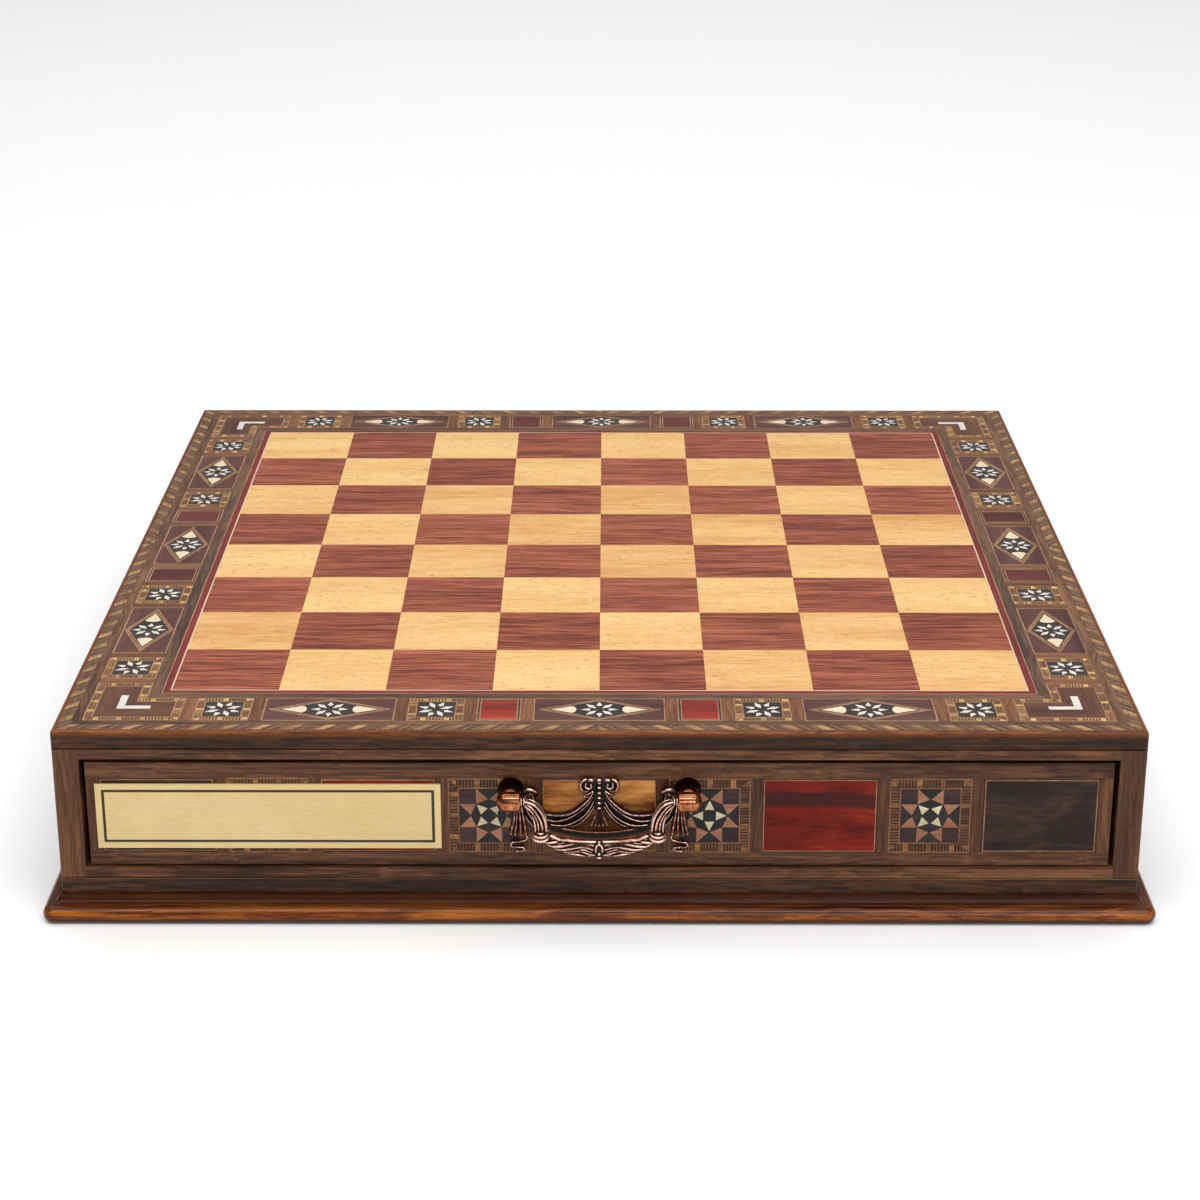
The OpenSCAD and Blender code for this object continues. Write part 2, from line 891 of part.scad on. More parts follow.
module star_mosaic_frames() {
    color("tan")
        difference() {
            face_inlay([-star_b_x, -star_a_x, star_a_x, star_b_x])
                ring([front_star_w, front_star_w], 0, front_mosaic_w);
            screw_holes(screw_r + screw_gap);
        }
}

module name_plate() {
    color("khaki")
        on_face()
            translate([plate_x, -band_drop, 0])
                difference() {
                    linear_extrude(plate_t) square([plate_w, plate_h], center = true);
                    translate([0, 0, plate_t / 2])
                        linear_extrude(plate_t)
                            ring([plate_w, plate_h], plate_inset, plate_inset + plate_line);
                }
}

// Handle --------------------------------------------------------------------

// A round rod of radius r bent about c at radius big, from angle a to angle b
module bent_rod(c, big, r, a, b) {
    translate([c[0], c[1], 0])
        rotate([0, 0, a]) rotate_extrude(angle = b - a) translate([big, 0]) circle(r, $fn = 32);
}

// Strands that hang from (x, top) and spread to their lower ends
module strands(x, top, long, count, spread) {
    middle = (count - 1) / 2;
    for (k = [0:count - 1])
        translate([x + (k - middle) * 0.5, top])
            rotate((k - middle) * spread) translate([-0.4, -long]) square([0.8, long]);
}

module plate_outline() {
    mirrored() {
        // The wing that joins the swag to the post
        polygon([[post_x - 13.5, -8.8], [post_x - 9.8, -4], [post_x - 3, 2.6], [post_x + 2, 2.6],
            [post_x + 2, -4], [post_x - 4, -7], [post_x - 8, -13.6], [post_x - 13.5, -15.2]]);
        translate(ear_c) circle(ear_r + 0.6 * line_t);
        translate(volute_c) circle(volute_r);
        // The tail under the post
        polygon([[tail_x - 1.4, tail_top], [tail_x + 1.4, tail_top],
            [tail_x + 2.7, tail_top - tail_l], [tail_x - 2.7, tail_top - tail_l]]);
    }
    // The column down the middle, the cross-piece behind the volutes and the tassel
    translate([-column_w / 2, tassel_top]) square([column_w, bead_top + bead_r - tassel_top]);
    translate([-volute_c[0], volute_c[1] - 1]) square([2 * volute_c[0], 2]);
    polygon([[-column_w / 2, tassel_top + 1], [column_w / 2, tassel_top + 1],
        [2.9, tassel_top - tassel_l], [-2.9, tassel_top - tassel_l]]);
}

// The open scroll at the foot of a tail: two bends and a hook
function scroll_path() =
    concat(arc([tail_x - 1.2, tail_top - tail_l - 1.9], 1.9, 60, 270, 10),
        arc([tail_x + 1.5, tail_top - tail_l - 4.9], 1.1, 90, -90, 8),
        arc([tail_x - 0.8, tail_top - tail_l - 6.9], 0.9, 90, 270, 8),
        [[tail_x + 0.7, tail_top - tail_l - 7.8]]);

// Volute rings, the ear beside the post, tassel, tails and lower bar stand higher
module plate_relief() {
    mirrored() {
        translate(volute_c) difference() {
            circle(volute_r);
            circle(volute_r - volute_w);
        }
        ribbon(arc(ear_c, ear_r, -30, 180), line_t);
        strands(tail_x, tail_top, tail_l, 4, 5);
        ribbon(scroll_path(), line_t);
    }
    ribbon(arc([0, bar_low + bar_r], bar_r, -90 - bar_span, -90 + bar_span, 16), bar_w);
    strands(0, tassel_top, tassel_l, 5, 11);
}

// Half of the swag: four round flutes on a flat back
module swag() {
    intersection() {
        translate([swag_c[0], swag_c[1], 0])
            rotate([0, 0, swag_start]) rotate_extrude(angle = swag_end - swag_start) {
                translate([swag_r - rib_r, 0]) square([3 * swag_step + 2 * rib_r, sheet_t]);
                for (k = [0:3]) translate([swag_r + k * swag_step, sheet_t]) circle(rib_r, $fn = 32);
            }
        translate([0, -40, 0]) cube([60, 60, 10]);
    }
}

// The pins turn in the sockets' inner ends; each outer end is domed
module socket() {
    translate([socket_x, 0, pivot_out])
        rotate([0, 90, 0])
            rotate_extrude()
                polygon(concat([[0, 0], [socket_r, 0]], arc([0, socket_l], socket_r, 0, 90)));
}

module post_and_socket() {
    difference() {
        union() {
            translate([post_x, 0, 0]) cylinder(r = post_r, h = pivot_out);
            socket();
        }
        translate([socket_x - 1, 0, pivot_out])
            rotate([0, 90, 0]) cylinder(r = pin_r + pin_gap, h = pin_in + pin_gap + 1);
        translate([post_x, 0, -1]) cylinder(r = screw_r + pin_gap, h = screw_in + 1 + fit);
    }
}

module handle_plate() {
    color("peru")
        at_pivot() {
            difference() {
                union() {
                    linear_extrude(sheet_t) plate_outline();
                    linear_extrude(relief) plate_relief();
                    mirrored() swag();
                    for (k = [0:5]) translate([0, bead_top - bead_step * k, sheet_t]) sphere(bead_r);
                }
                mirrored() translate([post_x, 0, -1]) cylinder(r = post_r - fit, h = relief + 2);
            }
            mirrored() post_and_socket();
        }
}

module handle_screws() {
    color("silver")
        at_pivot()
            mirrored()
                translate([post_x, 0, 0]) {
                    translate([0, 0, -front_t]) cylinder(r = screw_r, h = front_t + screw_in);
                    translate([0, 0, -front_t - head_h]) cylinder(r = head_r, h = head_h);
                }
}

// A pin and its two rings, as one turning
module bail_pin() {
    ring_l = boss_l / 2;
    rotate([0, 90, 0])
        rotate_extrude()
            polygon(concat([[0, boss_x]],
                arc([boss_r - ring_l / 2, boss_x + ring_l / 2], ring_l / 2, -90, 90, 6),
                arc([boss_r - ring_l / 2, boss_x + 1.5 * ring_l], ring_l / 2, -90, 90, 6),
                [[pin_r, boss_x + boss_l], [pin_r, socket_x + pin_in], [0, socket_x + pin_in]]));
}

// Two rings at the foot of an arm, as one turning
module collar() {
    translate([collar_c[0], collar_c[1], 0])
        rotate([90, 0, 0])
            rotate_extrude()
                polygon([[0, -0.9], [2.9, -0.9], [3.2, -0.6], [3.2, -0.3], [2.9, 0],
                    [2.7, 0], [2.9, 0.2], [2.9, 0.7], [2.7, 0.9], [0, 0.9]]);
}

module bail() {
    color("peru")
        at_pivot() translate([0, 0, pivot_out]) {
            mirrored() {
                bail_pin();
                // Four flutes that fan out from the pin to the collar
                for (k = [0:3]) {
                    c = arm_c + k * arm_fan;
                    bent_rod(c, arm_r, flute_r, 90 + asin((c[0] - boss_x - boss_l / 2) / arm_r), arm_end);
                }
                collar();
            }
            // Grip: four leaves about one middle, each lower one shorter
            for (k = [0:3]) {
                r = grip_r + grip_step * k;
                span = asin(grip_x[k] / r);
                bent_rod(grip_c, r, 1.35 - 0.05 * k, -90 - span, -90 + span);
            }
            translate([0, bud_y, 0.8]) sphere(bud_r);
        }
}

// Nodes of each drawer ------------------------------------------------------

module front_drawer_front() drawer_front();
module front_drawer_sides() drawer_sides();
module front_drawer_back() drawer_back();
module front_drawer_bottom() drawer_bottom();
module front_drawer_felt() drawer_felt();
module front_long_divider() long_divider();
module front_cross_dividers() cross_dividers();
module front_panels() panels();
module front_star_mosaics() star_mosaic_frames();
module front_star_grounds() star_ground_tiles();
module front_star_points() star_points();
module front_handle_plate() handle_plate();
module front_handle_screws() handle_screws();
module front_bail() bail();

module rear_drawer_front() rear() drawer_front();
module rear_drawer_sides() rear() drawer_sides();
module rear_drawer_back() rear() drawer_back();
module rear_drawer_bottom() rear() drawer_bottom();
module rear_drawer_felt() rear() drawer_felt();
module rear_long_divider() rear() long_divider();
module rear_cross_dividers() rear() cross_dividers();
module rear_panels() rear() panels();
module rear_star_mosaics() rear() star_mosaic_frames();
module rear_star_grounds() rear() star_ground_tiles();
module rear_star_points() rear() star_points();
module rear_handle_plate() rear() handle_plate();
module rear_handle_screws() rear() handle_screws();
module rear_bail() rear() bail();

top_panel();
edge_lipping();
rope_banding();
border_veneer();
diamond_grounds();
diamond_bands();
diamond_fields();
bone_drops();
bone_stars();
star_grounds();
star_mosaics();
red_cells();
cell_lines();
corner_mosaics();
corner_panels();
corner_marks();
red_line();
white_line();
light_squares();
dark_squares();
left_wall();
right_wall();
front_top_rail();
front_bottom_rail();
rear_top_rail();
rear_bottom_rail();
bottom_board();
base_moulding();
partition();
drawer_runners();
drawer_kickers();
front_drawer_front();
front_drawer_sides();
front_drawer_back();
front_drawer_bottom();
front_drawer_felt();
front_long_divider();
front_cross_dividers();
front_panels();
front_star_mosaics();
front_star_grounds();
front_star_points();
front_handle_plate();
front_handle_screws();
front_bail();
name_plate();
rear_drawer_front();
rear_drawer_sides();
rear_drawer_back();
rear_drawer_bottom();
rear_drawer_felt();
rear_long_divider();
rear_cross_dividers();
rear_panels();
rear_star_mosaics();
rear_star_grounds();
rear_star_points();
rear_handle_plate();
rear_handle_screws();
rear_bail();
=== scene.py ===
"""Finishes, marquetry and cast handles for the chess box."""

import math
import random

import bmesh
import bpy
import numpy as np
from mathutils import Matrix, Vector


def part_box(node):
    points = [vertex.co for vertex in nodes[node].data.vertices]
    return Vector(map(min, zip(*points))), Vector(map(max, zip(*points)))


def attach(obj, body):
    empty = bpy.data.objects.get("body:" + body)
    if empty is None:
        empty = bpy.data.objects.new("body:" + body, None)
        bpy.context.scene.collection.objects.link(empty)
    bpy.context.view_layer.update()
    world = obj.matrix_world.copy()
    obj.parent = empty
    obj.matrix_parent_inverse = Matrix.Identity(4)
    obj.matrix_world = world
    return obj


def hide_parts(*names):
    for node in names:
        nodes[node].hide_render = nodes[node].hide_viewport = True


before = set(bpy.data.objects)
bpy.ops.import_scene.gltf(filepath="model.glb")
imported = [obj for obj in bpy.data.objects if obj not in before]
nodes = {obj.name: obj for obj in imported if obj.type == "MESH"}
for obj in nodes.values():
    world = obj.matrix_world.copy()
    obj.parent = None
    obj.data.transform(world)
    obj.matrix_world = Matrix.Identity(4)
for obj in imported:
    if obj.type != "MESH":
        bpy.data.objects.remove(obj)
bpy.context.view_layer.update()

MM = 0.001

# The board, in millimetres
BOARD_HALF = 200.0
BOARD_TOP = 75.7
VENEER = 0.6
SQUARE = 40.3
FIELD_HALF = 161.2
LIPPING = 1.8
ROPE_WIDTH = 4.4
ROPE_PITCH = 11.8
ROPE_BLOCK = 3.4
CELL_IN = 9.9
CELL_WIDTH = 21.0
CELL_MIDDLE = CELL_IN + CELL_WIDTH / 2 - BOARD_HALF
CORNER_LEG = 35.5
STAR_X = (60.5, 139.5)
DIAMOND_X = (-100.0, 0.0, 100.0)
RHOMB = (23.2, 9.7)
RHOMB_BAND = 1.6
RHOMB_LINE = 0.42
RED_X = 37.2
RED_HALF = 8.2

# Inlays: the room round each tile and round the whole, the smallest tile and edge, and a strip's spare length
GLUE = 0.015
ROOM = 0.02
LEAST_AREA = 0.02
LEAST_EDGE = 0.02
OVERRUN = 5.0

# Mosaic frames: plain blocks a pitch apart, dashes between them, and beside them a strip and a pale line
MOSAIC_WIDTH = 3.5
MOSAIC_PITCH = 8.6
MOSAIC_BLOCK = 2.1
MOSAIC_DASHES = 6
MOSAIC_LINE = 0.28
MOSAIC_STRIP = 0.2

# The drawer fronts: cells stand a step apart, and every second one from the middle is a panel
FACE_Y = 198.5
FACE_Z = 41.25
CELL_STEP = 40.62
PANEL_HALF = (21.22, 15.0)
DARK_LINE = 0.4
BOTH_LINES = 0.85
FRONT_STAR_X = (-3 * CELL_STEP, -CELL_STEP, CELL_STEP, 3 * CELL_STEP)
FRONT_STAR_WIDTH = 30.0
FRONT_MOSAIC_WIDTH = 4.1
CROSS_HALF = 4.7
CREAM_RADIUS = 6.3

# The engraved line of the plate lies deeper in its face than this
ENGRAVED = 0.08

# The base's section: out from the case, up from the table, and for the bullnose and the cove a radius
BULL = (3.7, 3.3, 3.3)
COVE = (3.4, 9.2, 2.2)
BASE_INNER = -23.0
BASE_HEIGHT = 10.0
BASE_CORNER = 4.5
LEAST_CORNER = 0.5

# The handles: x from the middle, u up from the pivots, w out from the drawer front
PIVOT_Z = 52.05
POST_X = 32.5
PIVOT_OUT = 11.0
SOCKET_X = 28.9
PLATE_GRAIN = 0.15
BAIL_GRAIN = 0.14


# Shader maths ---------------------------------------------------------------


class Value:
    """A number or colour in a finish. Arithmetic on it adds Math nodes."""

    def __init__(self, finish, socket):
        self.finish, self.socket = finish, socket

    def math(self, operation, *values):
        return self.finish.add("ShaderNodeMath", {"operation": operation}, dict(enumerate(values)))

    def __add__(self, other):
        return self.math("ADD", self, other)

    def __sub__(self, other):
        return self.math("SUBTRACT", self, other)

    def __rsub__(self, other):
        return self.math("SUBTRACT", other, self)

    def __mul__(self, other):
        return self.math("MULTIPLY", self, other)

    def __truediv__(self, other):
        return self.math("DIVIDE", self, other)

    def __gt__(self, other):
        return self.math("GREATER_THAN", self, other)

    def __abs__(self):
        return self.math("ABSOLUTE", self)

    __radd__ = __add__
    __rmul__ = __mul__

    def floor(self):
        return self.math("FLOOR", self)

    def lower(self, other):
        return self.math("MINIMUM", self, other)

    def higher(self, other):
        return self.math("MAXIMUM", self, other)

    def ease(self, low, high):
        """0 at low, 1 at high, smooth between."""
        ends = {"Value": self, "From Min": low, "From Max": high}
        return self.finish.add("ShaderNodeMapRange", {"interpolation_type": "SMOOTHSTEP"}, ends)


def paint(red, green, blue):
    """A colour given as 0 to 255 on a screen, as the linear colour that a shader takes."""
    parts = [c / 255 for c in (red, green, blue)]
    linear = [c / 12.92 if c <= 0.04045 else ((c + 0.055) / 1.055) ** 2.4 for c in parts]
    return (*linear, 1.0)


class Finish:
    """A material under construction."""

    def __init__(self, name):
        self.material = bpy.data.materials.new(name)
        self.material.use_nodes = True
        self.tree = self.material.node_tree
        self.tree.nodes.clear()

    def add(self, kind, settings=None, inputs=None, output=0):
        """Adds a node: its settings first, then the values or links of its sockets."""
        node = self.tree.nodes.new(kind)
        for key, value in (settings or {}).items():
            if key == "stops":
                self.set_stops(node.color_ramp, value)
            else:
                setattr(node, key, value)
        for key, value in (inputs or {}).items():
            socket = node.inputs[key]
            if isinstance(value, Value):
                self.tree.links.new(value.socket, socket)
            else:
                socket.default_value = value
        return Value(self, node.outputs[output]) if node.outputs else None

    @staticmethod
    def set_stops(ramp, stops):
        while len(ramp.elements) < len(stops):
            ramp.elements.new(0.5)
        for element, (place, colour) in zip(ramp.elements, stops):
            element.position, element.color = place, colour

    def position(self):
        """x, y and z of the surface in millimetres, in the object's own frame."""
        place = self.add("ShaderNodeTexCoord", output="Object")
        scaled = self.add("ShaderNodeVectorMath", {"operation": "SCALE"}, {0: place, "Scale": 1 / MM})
        return [self.add("ShaderNodeSeparateXYZ", None, {0: scaled}, axis) for axis in range(3)]

    def vector(self, x, y, z):
        return self.add("ShaderNodeCombineXYZ", None, {0: x, 1: y, 2: z})

    def noise(self, place, scale, detail=3.0, roughness=0.5, distortion=0.0):
        values = {"Scale": scale, "Detail": detail, "Roughness": roughness, "Distortion": distortion}
        return self.add("ShaderNodeTexNoise", None, {"Vector": place, **values})

    def chance(self, place):
        """A random number that is the same wherever place is the same."""
        return self.add("ShaderNodeTexWhiteNoise", {"noise_dimensions": "3D"}, {"Vector": place})

    def blend(self, share, first, second):
        """Colour first where share is 0 and second where it is 1."""
        return self.add("ShaderNodeMix", {"data_type": "RGBA"}, {0: share, 6: first, 7: second}, 2)

    def ramp(self, value, places, tones):
        """Through the tones, each at its place."""
        stops = [(place, paint(*tone)) for place, tone in zip(places, tones)]
        return self.add("ShaderNodeValToRGB", {"stops": stops}, {0: value})

    def bump(self, height, depth):
        """Depth is in millimetres."""
        return self.add("ShaderNodeBump", None, {"Height": height, "Distance": depth * MM})

    def surface(self, **sockets):
        names = {key.replace("_", " ").title().replace("Ior", "IOR"): value for key, value in sockets.items()}
        shader = self.add("ShaderNodeBsdfPrincipled", None, names)
        self.add("ShaderNodeOutputMaterial", None, {"Surface": shader})
        return self.material


def spread(low, high, tones):
    """A place for each tone, evenly from low to high."""
    return [low + (high - low) * i / (len(tones) - 1) for i in range(len(tones))]


# Woods ----------------------------------------------------------------------


def grain_axes(finish, grain):
    """Distances along the grain, across it and through the wood."""
    x, y, z = finish.position()
    if grain == "X":
        return x, y, z
    if grain == "Y":
        return y, x, z
    if grain == "Z":
        return z, x, y
    beside = abs(x) > abs(y)
    if grain == "across":
        return y + (x - y) * beside, x + (y - x) * beside, z
    # Lengths mitred round the box follow their own side
    return x + (y - x) * beside, y + (x - y) * beside, z


def wood(
    name,
    tones,
    grain="X",
    stretch=0.05,
    figure=0.06,
    figure_share=0.6,
    streak=0.9,
    streak_share=0.7,
    pores=0.0,
    pore_size=1.6,
    waviness=1.2,
    roughness=0.42,
    coat=0.08,
    relief=0.02,
    gloss=0.15,
    cell=None,
    cell_share=0.0,
    glazes=(),
    seed=0.0,
):
    """Polished wood. Tones run from dark to light, and sizes are in waves per millimetre.

    A cell is a side and an offset: squares of that side differ in tone and in grain. A height tint is a
    colour
    over part of the height: none at the first height, full at the second. The base's tints are painted shade.
    """
    f = Finish(name)
    along, across, through = grain_axes(f, grain)
    # Uneven steps keep woods and squares from showing the same grain
    along, across = along + seed * 37.0, across + seed * 91.0
    tone = 0.0
    if cell:
        side, offset = cell
        column, row = [((v + offset) / side).floor() for v in f.position()[:2]]
        tone = f.chance(f.vector(column, row, 0.5)) - 0.5
        along, across = along + column * 53.0 + row * 17.0, across + row * 41.0 + column * 23.0
    bend = f.noise(f.vector(along * 0.02, across * 0.02, through * 0.02), 1.0, 2.0)
    bent = across + (bend - 0.5) * 10.0 * waviness
    broad = f.noise(f.vector(along * stretch * 2, bent, through), figure, 4.0, 0.55, 0.4)
    fine = f.noise(f.vector(along * stretch, bent, through), streak, 3.0, 0.65)
    share = 0.5 + (broad - 0.5) * 2.0 * figure_share + (fine - 0.5) * 2.0 * streak_share + tone * cell_share
    colour = f.ramp(share, spread(0.22, 0.78, tones), tones)
    # A tint over part of the height; the base's tints are painted shade
    for low, high, shade in glazes:
        share = through.ease(low, high) * (0.55 + broad * 0.6)
        colour = f.blend(share, colour, paint(*shade))
        coat = coat * (1.0 - share)
    height = fine
    if pores:
        fleck = f.noise(f.vector(along * stretch * 3.5, bent, through), pore_size, 2.0, 0.6)
        open_pore = fleck.ease(0.60, 0.70) * pores
        pore_tone = [c * k for c, k in zip(tones[0], (0.78, 0.64, 0.58))]
        colour = f.blend(open_pore, colour, paint(*pore_tone))
        height = fine - open_pore
    return f.surface(
        base_color=colour,
        roughness=roughness + (fine - 0.5) * 0.16,
        specular_ior_level=gloss,
        coat_weight=coat,
        coat_roughness=0.18,
        normal=f.bump(height, relief),
    )


def bone(name, light, dark, seed=0.0):
    """Polished bone and shell: pale, with faint veins and a little variation from piece to piece."""
    f = Finish(name)
    x, y, z = f.position()
    piece = f.chance(f.vector((x / 3.1).floor(), (y / 3.1).floor(), seed))
    vein = f.noise(f.vector(x, y * 2.2, z + seed), 0.8, 3.0, 0.6, 0.8)
    share = (vein.ease(0.38, 0.72) * 0.6 + piece * 0.35).lower(1.0)
    return f.surface(
        base_color=f.blend(share, paint(*light), paint(*dark)),
        roughness=0.3 + vein * 0.1,
        coat_weight=0.3,
        coat_roughness=0.15,
        normal=f.bump(vein, 0.01),
    )


def figured_panel(name, tones, band=None, cloud=0.05):
    """A drawer front panel with cloudy figure, and a darker band from one height to another where given."""
    f = Finish(name)
    x, y, z = f.position()
    cloudy = f.noise(f.vector(x * 0.35, y, z), cloud, 4.0, 0.6, 1.2)
    streaks = f.noise(f.vector(x * 0.06, y, z + cloudy * 6.0), 0.9, 3.0, 0.6)
    share = 0.5 + (cloudy - 0.5) * 1.8 + (streaks - 0.5) * 0.7
    colour = f.ramp(share, spread(0.2, 0.8, tones), tones)
    if band:
        low, high, shade = band
        edge = z + (cloudy - 0.5) * 7.0 + (streaks - 0.5) * 2.0
        inside = edge.ease(low - 1.2, low + 1.2) * (1.0 - edge.ease(high - 1.2, high + 1.2))
        colour = f.blend(inside * 0.85, colour, paint(*shade))
    return f.surface(
        base_color=colour,
        roughness=0.3 + (streaks - 0.5) * 0.12,
        coat_weight=0.06,
        coat_roughness=0.18,
        specular_ior_level=0.12,
        normal=f.bump(streaks, 0.015),
    )


def copper(name, tones, roughness):
    """Antiqued copper: burnished on the high parts and dark in the recesses, with painted highlights where
    the casting faces up and stands out.
    """
    f = Finish(name)
    x, y, z = f.position()
    # The attribute is wear on the ridges together with painted light and shade, and it picks the painted
    # highlight tone
    high = f.add("ShaderNodeAttribute", {"attribute_name": "burnish"}, output="Fac")
    cloud = f.noise(f.vector(x, y, z), 0.5, 3.0, 0.6)
    scratch = f.noise(f.vector(x * 0.4, y, z * 4.0), 2.5, 2.0, 0.6)
    share = (high + (cloud - 0.5) * 0.35 + (scratch - 0.5) * 0.12).higher(0.0).lower(1.0)
    return f.surface(
        base_color=f.ramp(share, (0.12, 0.38, 0.62, 0.9), tones),
        metallic=0.55 + share * 0.4,
        roughness=roughness + (1.0 - share) * 0.25,
        normal=f.bump(cloud, 0.02),
    )


def polished_copper(name):
    """The plain turned posts and sockets, with painted shade that makes them nearly black near the drawer
    front.
    """
    f = Finish(name)
    x, y, z = f.position()
    cloud = f.noise(f.vector(x, y, z), 0.35, 3.0, 0.6)
    turned = f.noise(f.vector(x * 5.0, y * 0.3, z * 0.3), 1.2, 2.0, 0.5)
    # Painted shade: dark close to the drawer front, fading out towards the sockets
    out = (abs(y) - FACE_Y).ease(6.0, 11.5)
    worn = f.ramp(cloud + (turned - 0.5) * 0.3, (0.3, 0.7), [(104, 54, 30), (200, 128, 90)])
    return f.surface(
        base_color=f.blend(out, paint(44, 21, 13), worn),
        metallic=1.0,
        roughness=0.1 + turned * 0.1,
        normal=f.bump(turned, 0.01),
    )


def brass(name):
    """Pale satin brass, brushed along its length."""
    f = Finish(name)
    x, y, z = f.position()
    brushed = f.noise(f.vector(x * 0.05, y, z), 5.0, 3.0, 0.7)
    cloud = f.noise(f.vector(x, y, z), 0.04, 3.0, 0.5)
    share = 0.5 + (brushed - 0.5) * 0.9 + (cloud - 0.5) * 0.5
    return f.surface(
        base_color=f.ramp(share, (0.25, 0.75), [(202, 174, 116), (224, 200, 146)]),
        metallic=0.45,
        roughness=0.42 + (brushed - 0.5) * 0.2,
        normal=f.bump(brushed, 0.01),
    )


def plain_metal(name, tone, roughness):
    """Screws, a little brighter in patches."""
    f = Finish(name)
    wear = f.noise(f.vector(*f.position()), 1.5, 3.0, 0.6)
    lighter = [min(255, c * 1.2) for c in tone]
    return f.surface(
        base_color=f.blend(wear, paint(*tone), paint(*lighter)),
        metallic=0.9,
        roughness=roughness + (wear - 0.5) * 0.2,
        normal=f.bump(wear, 0.01),
    )


def enamel(name, tone):
    """Dark filler in the engraved line."""
    f = Finish(name)
    grainy = f.noise(f.vector(*f.position()), 3.0, 2.0, 0.6)
    lighter = [c * 1.5 for c in tone]
    return f.surface(
        base_color=f.blend(grainy, paint(*tone), paint(*lighter)),
        roughness=0.5 + grainy * 0.15,
        normal=f.bump(grainy, 0.01),
    )


def felt(name, dark, light):
    """Short wool nap."""
    f = Finish(name)
    x, y, z = f.position()
    nap = f.noise(f.vector(x, y, z), 2.2, 4.0, 0.75)
    patch = f.noise(f.vector(x, y, z), 0.05, 3.0, 0.5)
    share = 0.5 + (nap - 0.5) * 1.1 + (patch - 0.5) * 0.5
    return f.surface(
        base_color=f.ramp(share, (0.3, 0.75), [dark, light]),
        roughness=0.95,
        sheen_weight=0.4,
        sheen_roughness=0.5,
        normal=f.bump(nap, 0.25),
    )


CARCASS_TONES = [(50, 29, 18), (86, 53, 33), (122, 80, 51)]
DRAWER_TONES = [(176, 138, 96), (200, 164, 120), (216, 184, 142)]

# Looks that several woods share
CARCASS = {"pores": 0.6, "stretch": 0.035, "streak": 0.8}
RAW = {"streak": 0.5, "coat": 0.0}
DRAWER = {"streak": 0.6, "coat": 0.0, "roughness": 0.55}
VENEER_LOOK = {"streak": 1.0, "pores": 0.4}
MOSAIC = {"streak": 1.2, "figure": 0.25}
CALM = {"streak": 1.2, "streak_share": 0.4}
RED = {"streak": 1.3, "streak_share": 0.5, "figure": 0.03, "figure_share": 0.9, "pores": 0.3}
SQUARES = {"cell": (SQUARE, FIELD_HALF)}

finishes = {}


def add_wood(key, dark, middle, light, look=None, name=None, **own):
    """Adds a wood: three tones, a look shared with others, and values of its own that go before the look."""
    finishes[key] = wood(name or key, [dark, middle, light], **{**(look or {}), **own})


def add_ring_wood(key, dark, middle, light, look=None, **own):
    """A wood whose grain runs round the box."""
    add_wood(key, dark, middle, light, look, grain="ring", **own)


# The case
add_wood("core_board", (150, 118, 84), (172, 138, 100), (188, 156, 118), RAW, roughness=0.7)
add_wood("walnut", *CARCASS_TONES, CARCASS, figure=0.05, seed=1)
add_wood("walnut_side", *CARCASS_TONES, CARCASS, grain="Y", figure=0.05, seed=2)
add_wood(
    "walnut_post", *CARCASS_TONES, CARCASS,
    grain="Z", stretch=0.05, streak_share=0.45, figure_share=0.4, seed=3,
)
add_ring_wood(
    "walnut_edge", (25, 13, 5), (51, 29, 15), (82, 49, 28), CARCASS,
    pores=0.5, glazes=((72.6, 75.2, (116, 62, 24)),), seed=28,
)
add_ring_wood(
    "lipping", (64, 30, 12), (114, 62, 28), (152, 94, 46),
    stretch=0.04, streak=0.8, roughness=0.3, coat=0.1, seed=5,
)
add_ring_wood(
    "base", (42, 12, 1), (104, 46, 6), (168, 94, 24),
    name="polished_moulding", stretch=0.03, figure=0.07, streak=0.5, pores=0.5, seed=6,
    roughness=0.3, coat=0.36, gloss=0.1, relief=0.03,
    # Painted shade: darker in the cove under the case and on the lower part of the bullnose that faces down
    glazes=((5.0, 7.6, (48, 18, 3)), (3.4, 1.8, (58, 34, 20))),
)
add_wood("base_board", (132, 96, 66), (156, 118, 84), (176, 138, 102), RAW, roughness=0.65, seed=25)

# The border and the squares
add_ring_wood(
    "walnut_veneer", (64, 41, 28), (103, 70, 49), (132, 94, 66), VENEER_LOOK,
    pores=0.5, figure=0.07,
)
add_ring_wood(
    "inner_veneer", (62, 47, 38), (98, 70, 52), (122, 90, 67), VENEER_LOOK,
    figure=0.03, figure_share=1.0, seed=26,
)
add_wood("veneer_block", (84, 50, 29), (117, 74, 47), (139, 93, 61), VENEER_LOOK, grain="across", seed=27)
add_ring_wood("purple_wood", (66, 38, 34), (90, 55, 48), (106, 68, 60), streak=1.1, streak_share=0.4)
add_wood("ebonised_wood", (40, 33, 30), (56, 47, 42), (74, 60, 52), streak=1.4, streak_share=0.4)
add_wood("red_wood", (120, 30, 20), (160, 51, 32), (182, 69, 45), RED, seed=3)
add_wood("maroon_wood", (74, 30, 27), (98, 42, 37), (118, 58, 48), RED, seed=32)
add_ring_wood("brown_panel", (70, 42, 30), (98, 61, 44), (116, 77, 57), streak=1.0, streak_share=0.5, seed=7)
add_ring_wood("red_line", (82, 22, 22), (114, 36, 33), (138, 52, 44), streak=1.3, streak_share=0.4)
add_ring_wood("white_line", (196, 160, 130), (218, 190, 160), (232, 208, 180), streak=1.5, streak_share=0.3)
add_ring_wood("pale_line", (132, 96, 68), (166, 126, 94), (190, 150, 116), streak=1.8, streak_share=0.6)
add_wood(
    "light_squares", (205, 145, 82), (229, 183, 119), (239, 200, 137), SQUARES,
    name="maple", stretch=0.06, figure=0.045, figure_share=0.4, streak=1.1, streak_share=0.45,
    pores=0.7, pore_size=1.5, waviness=0.6, cell_share=0.25,
)
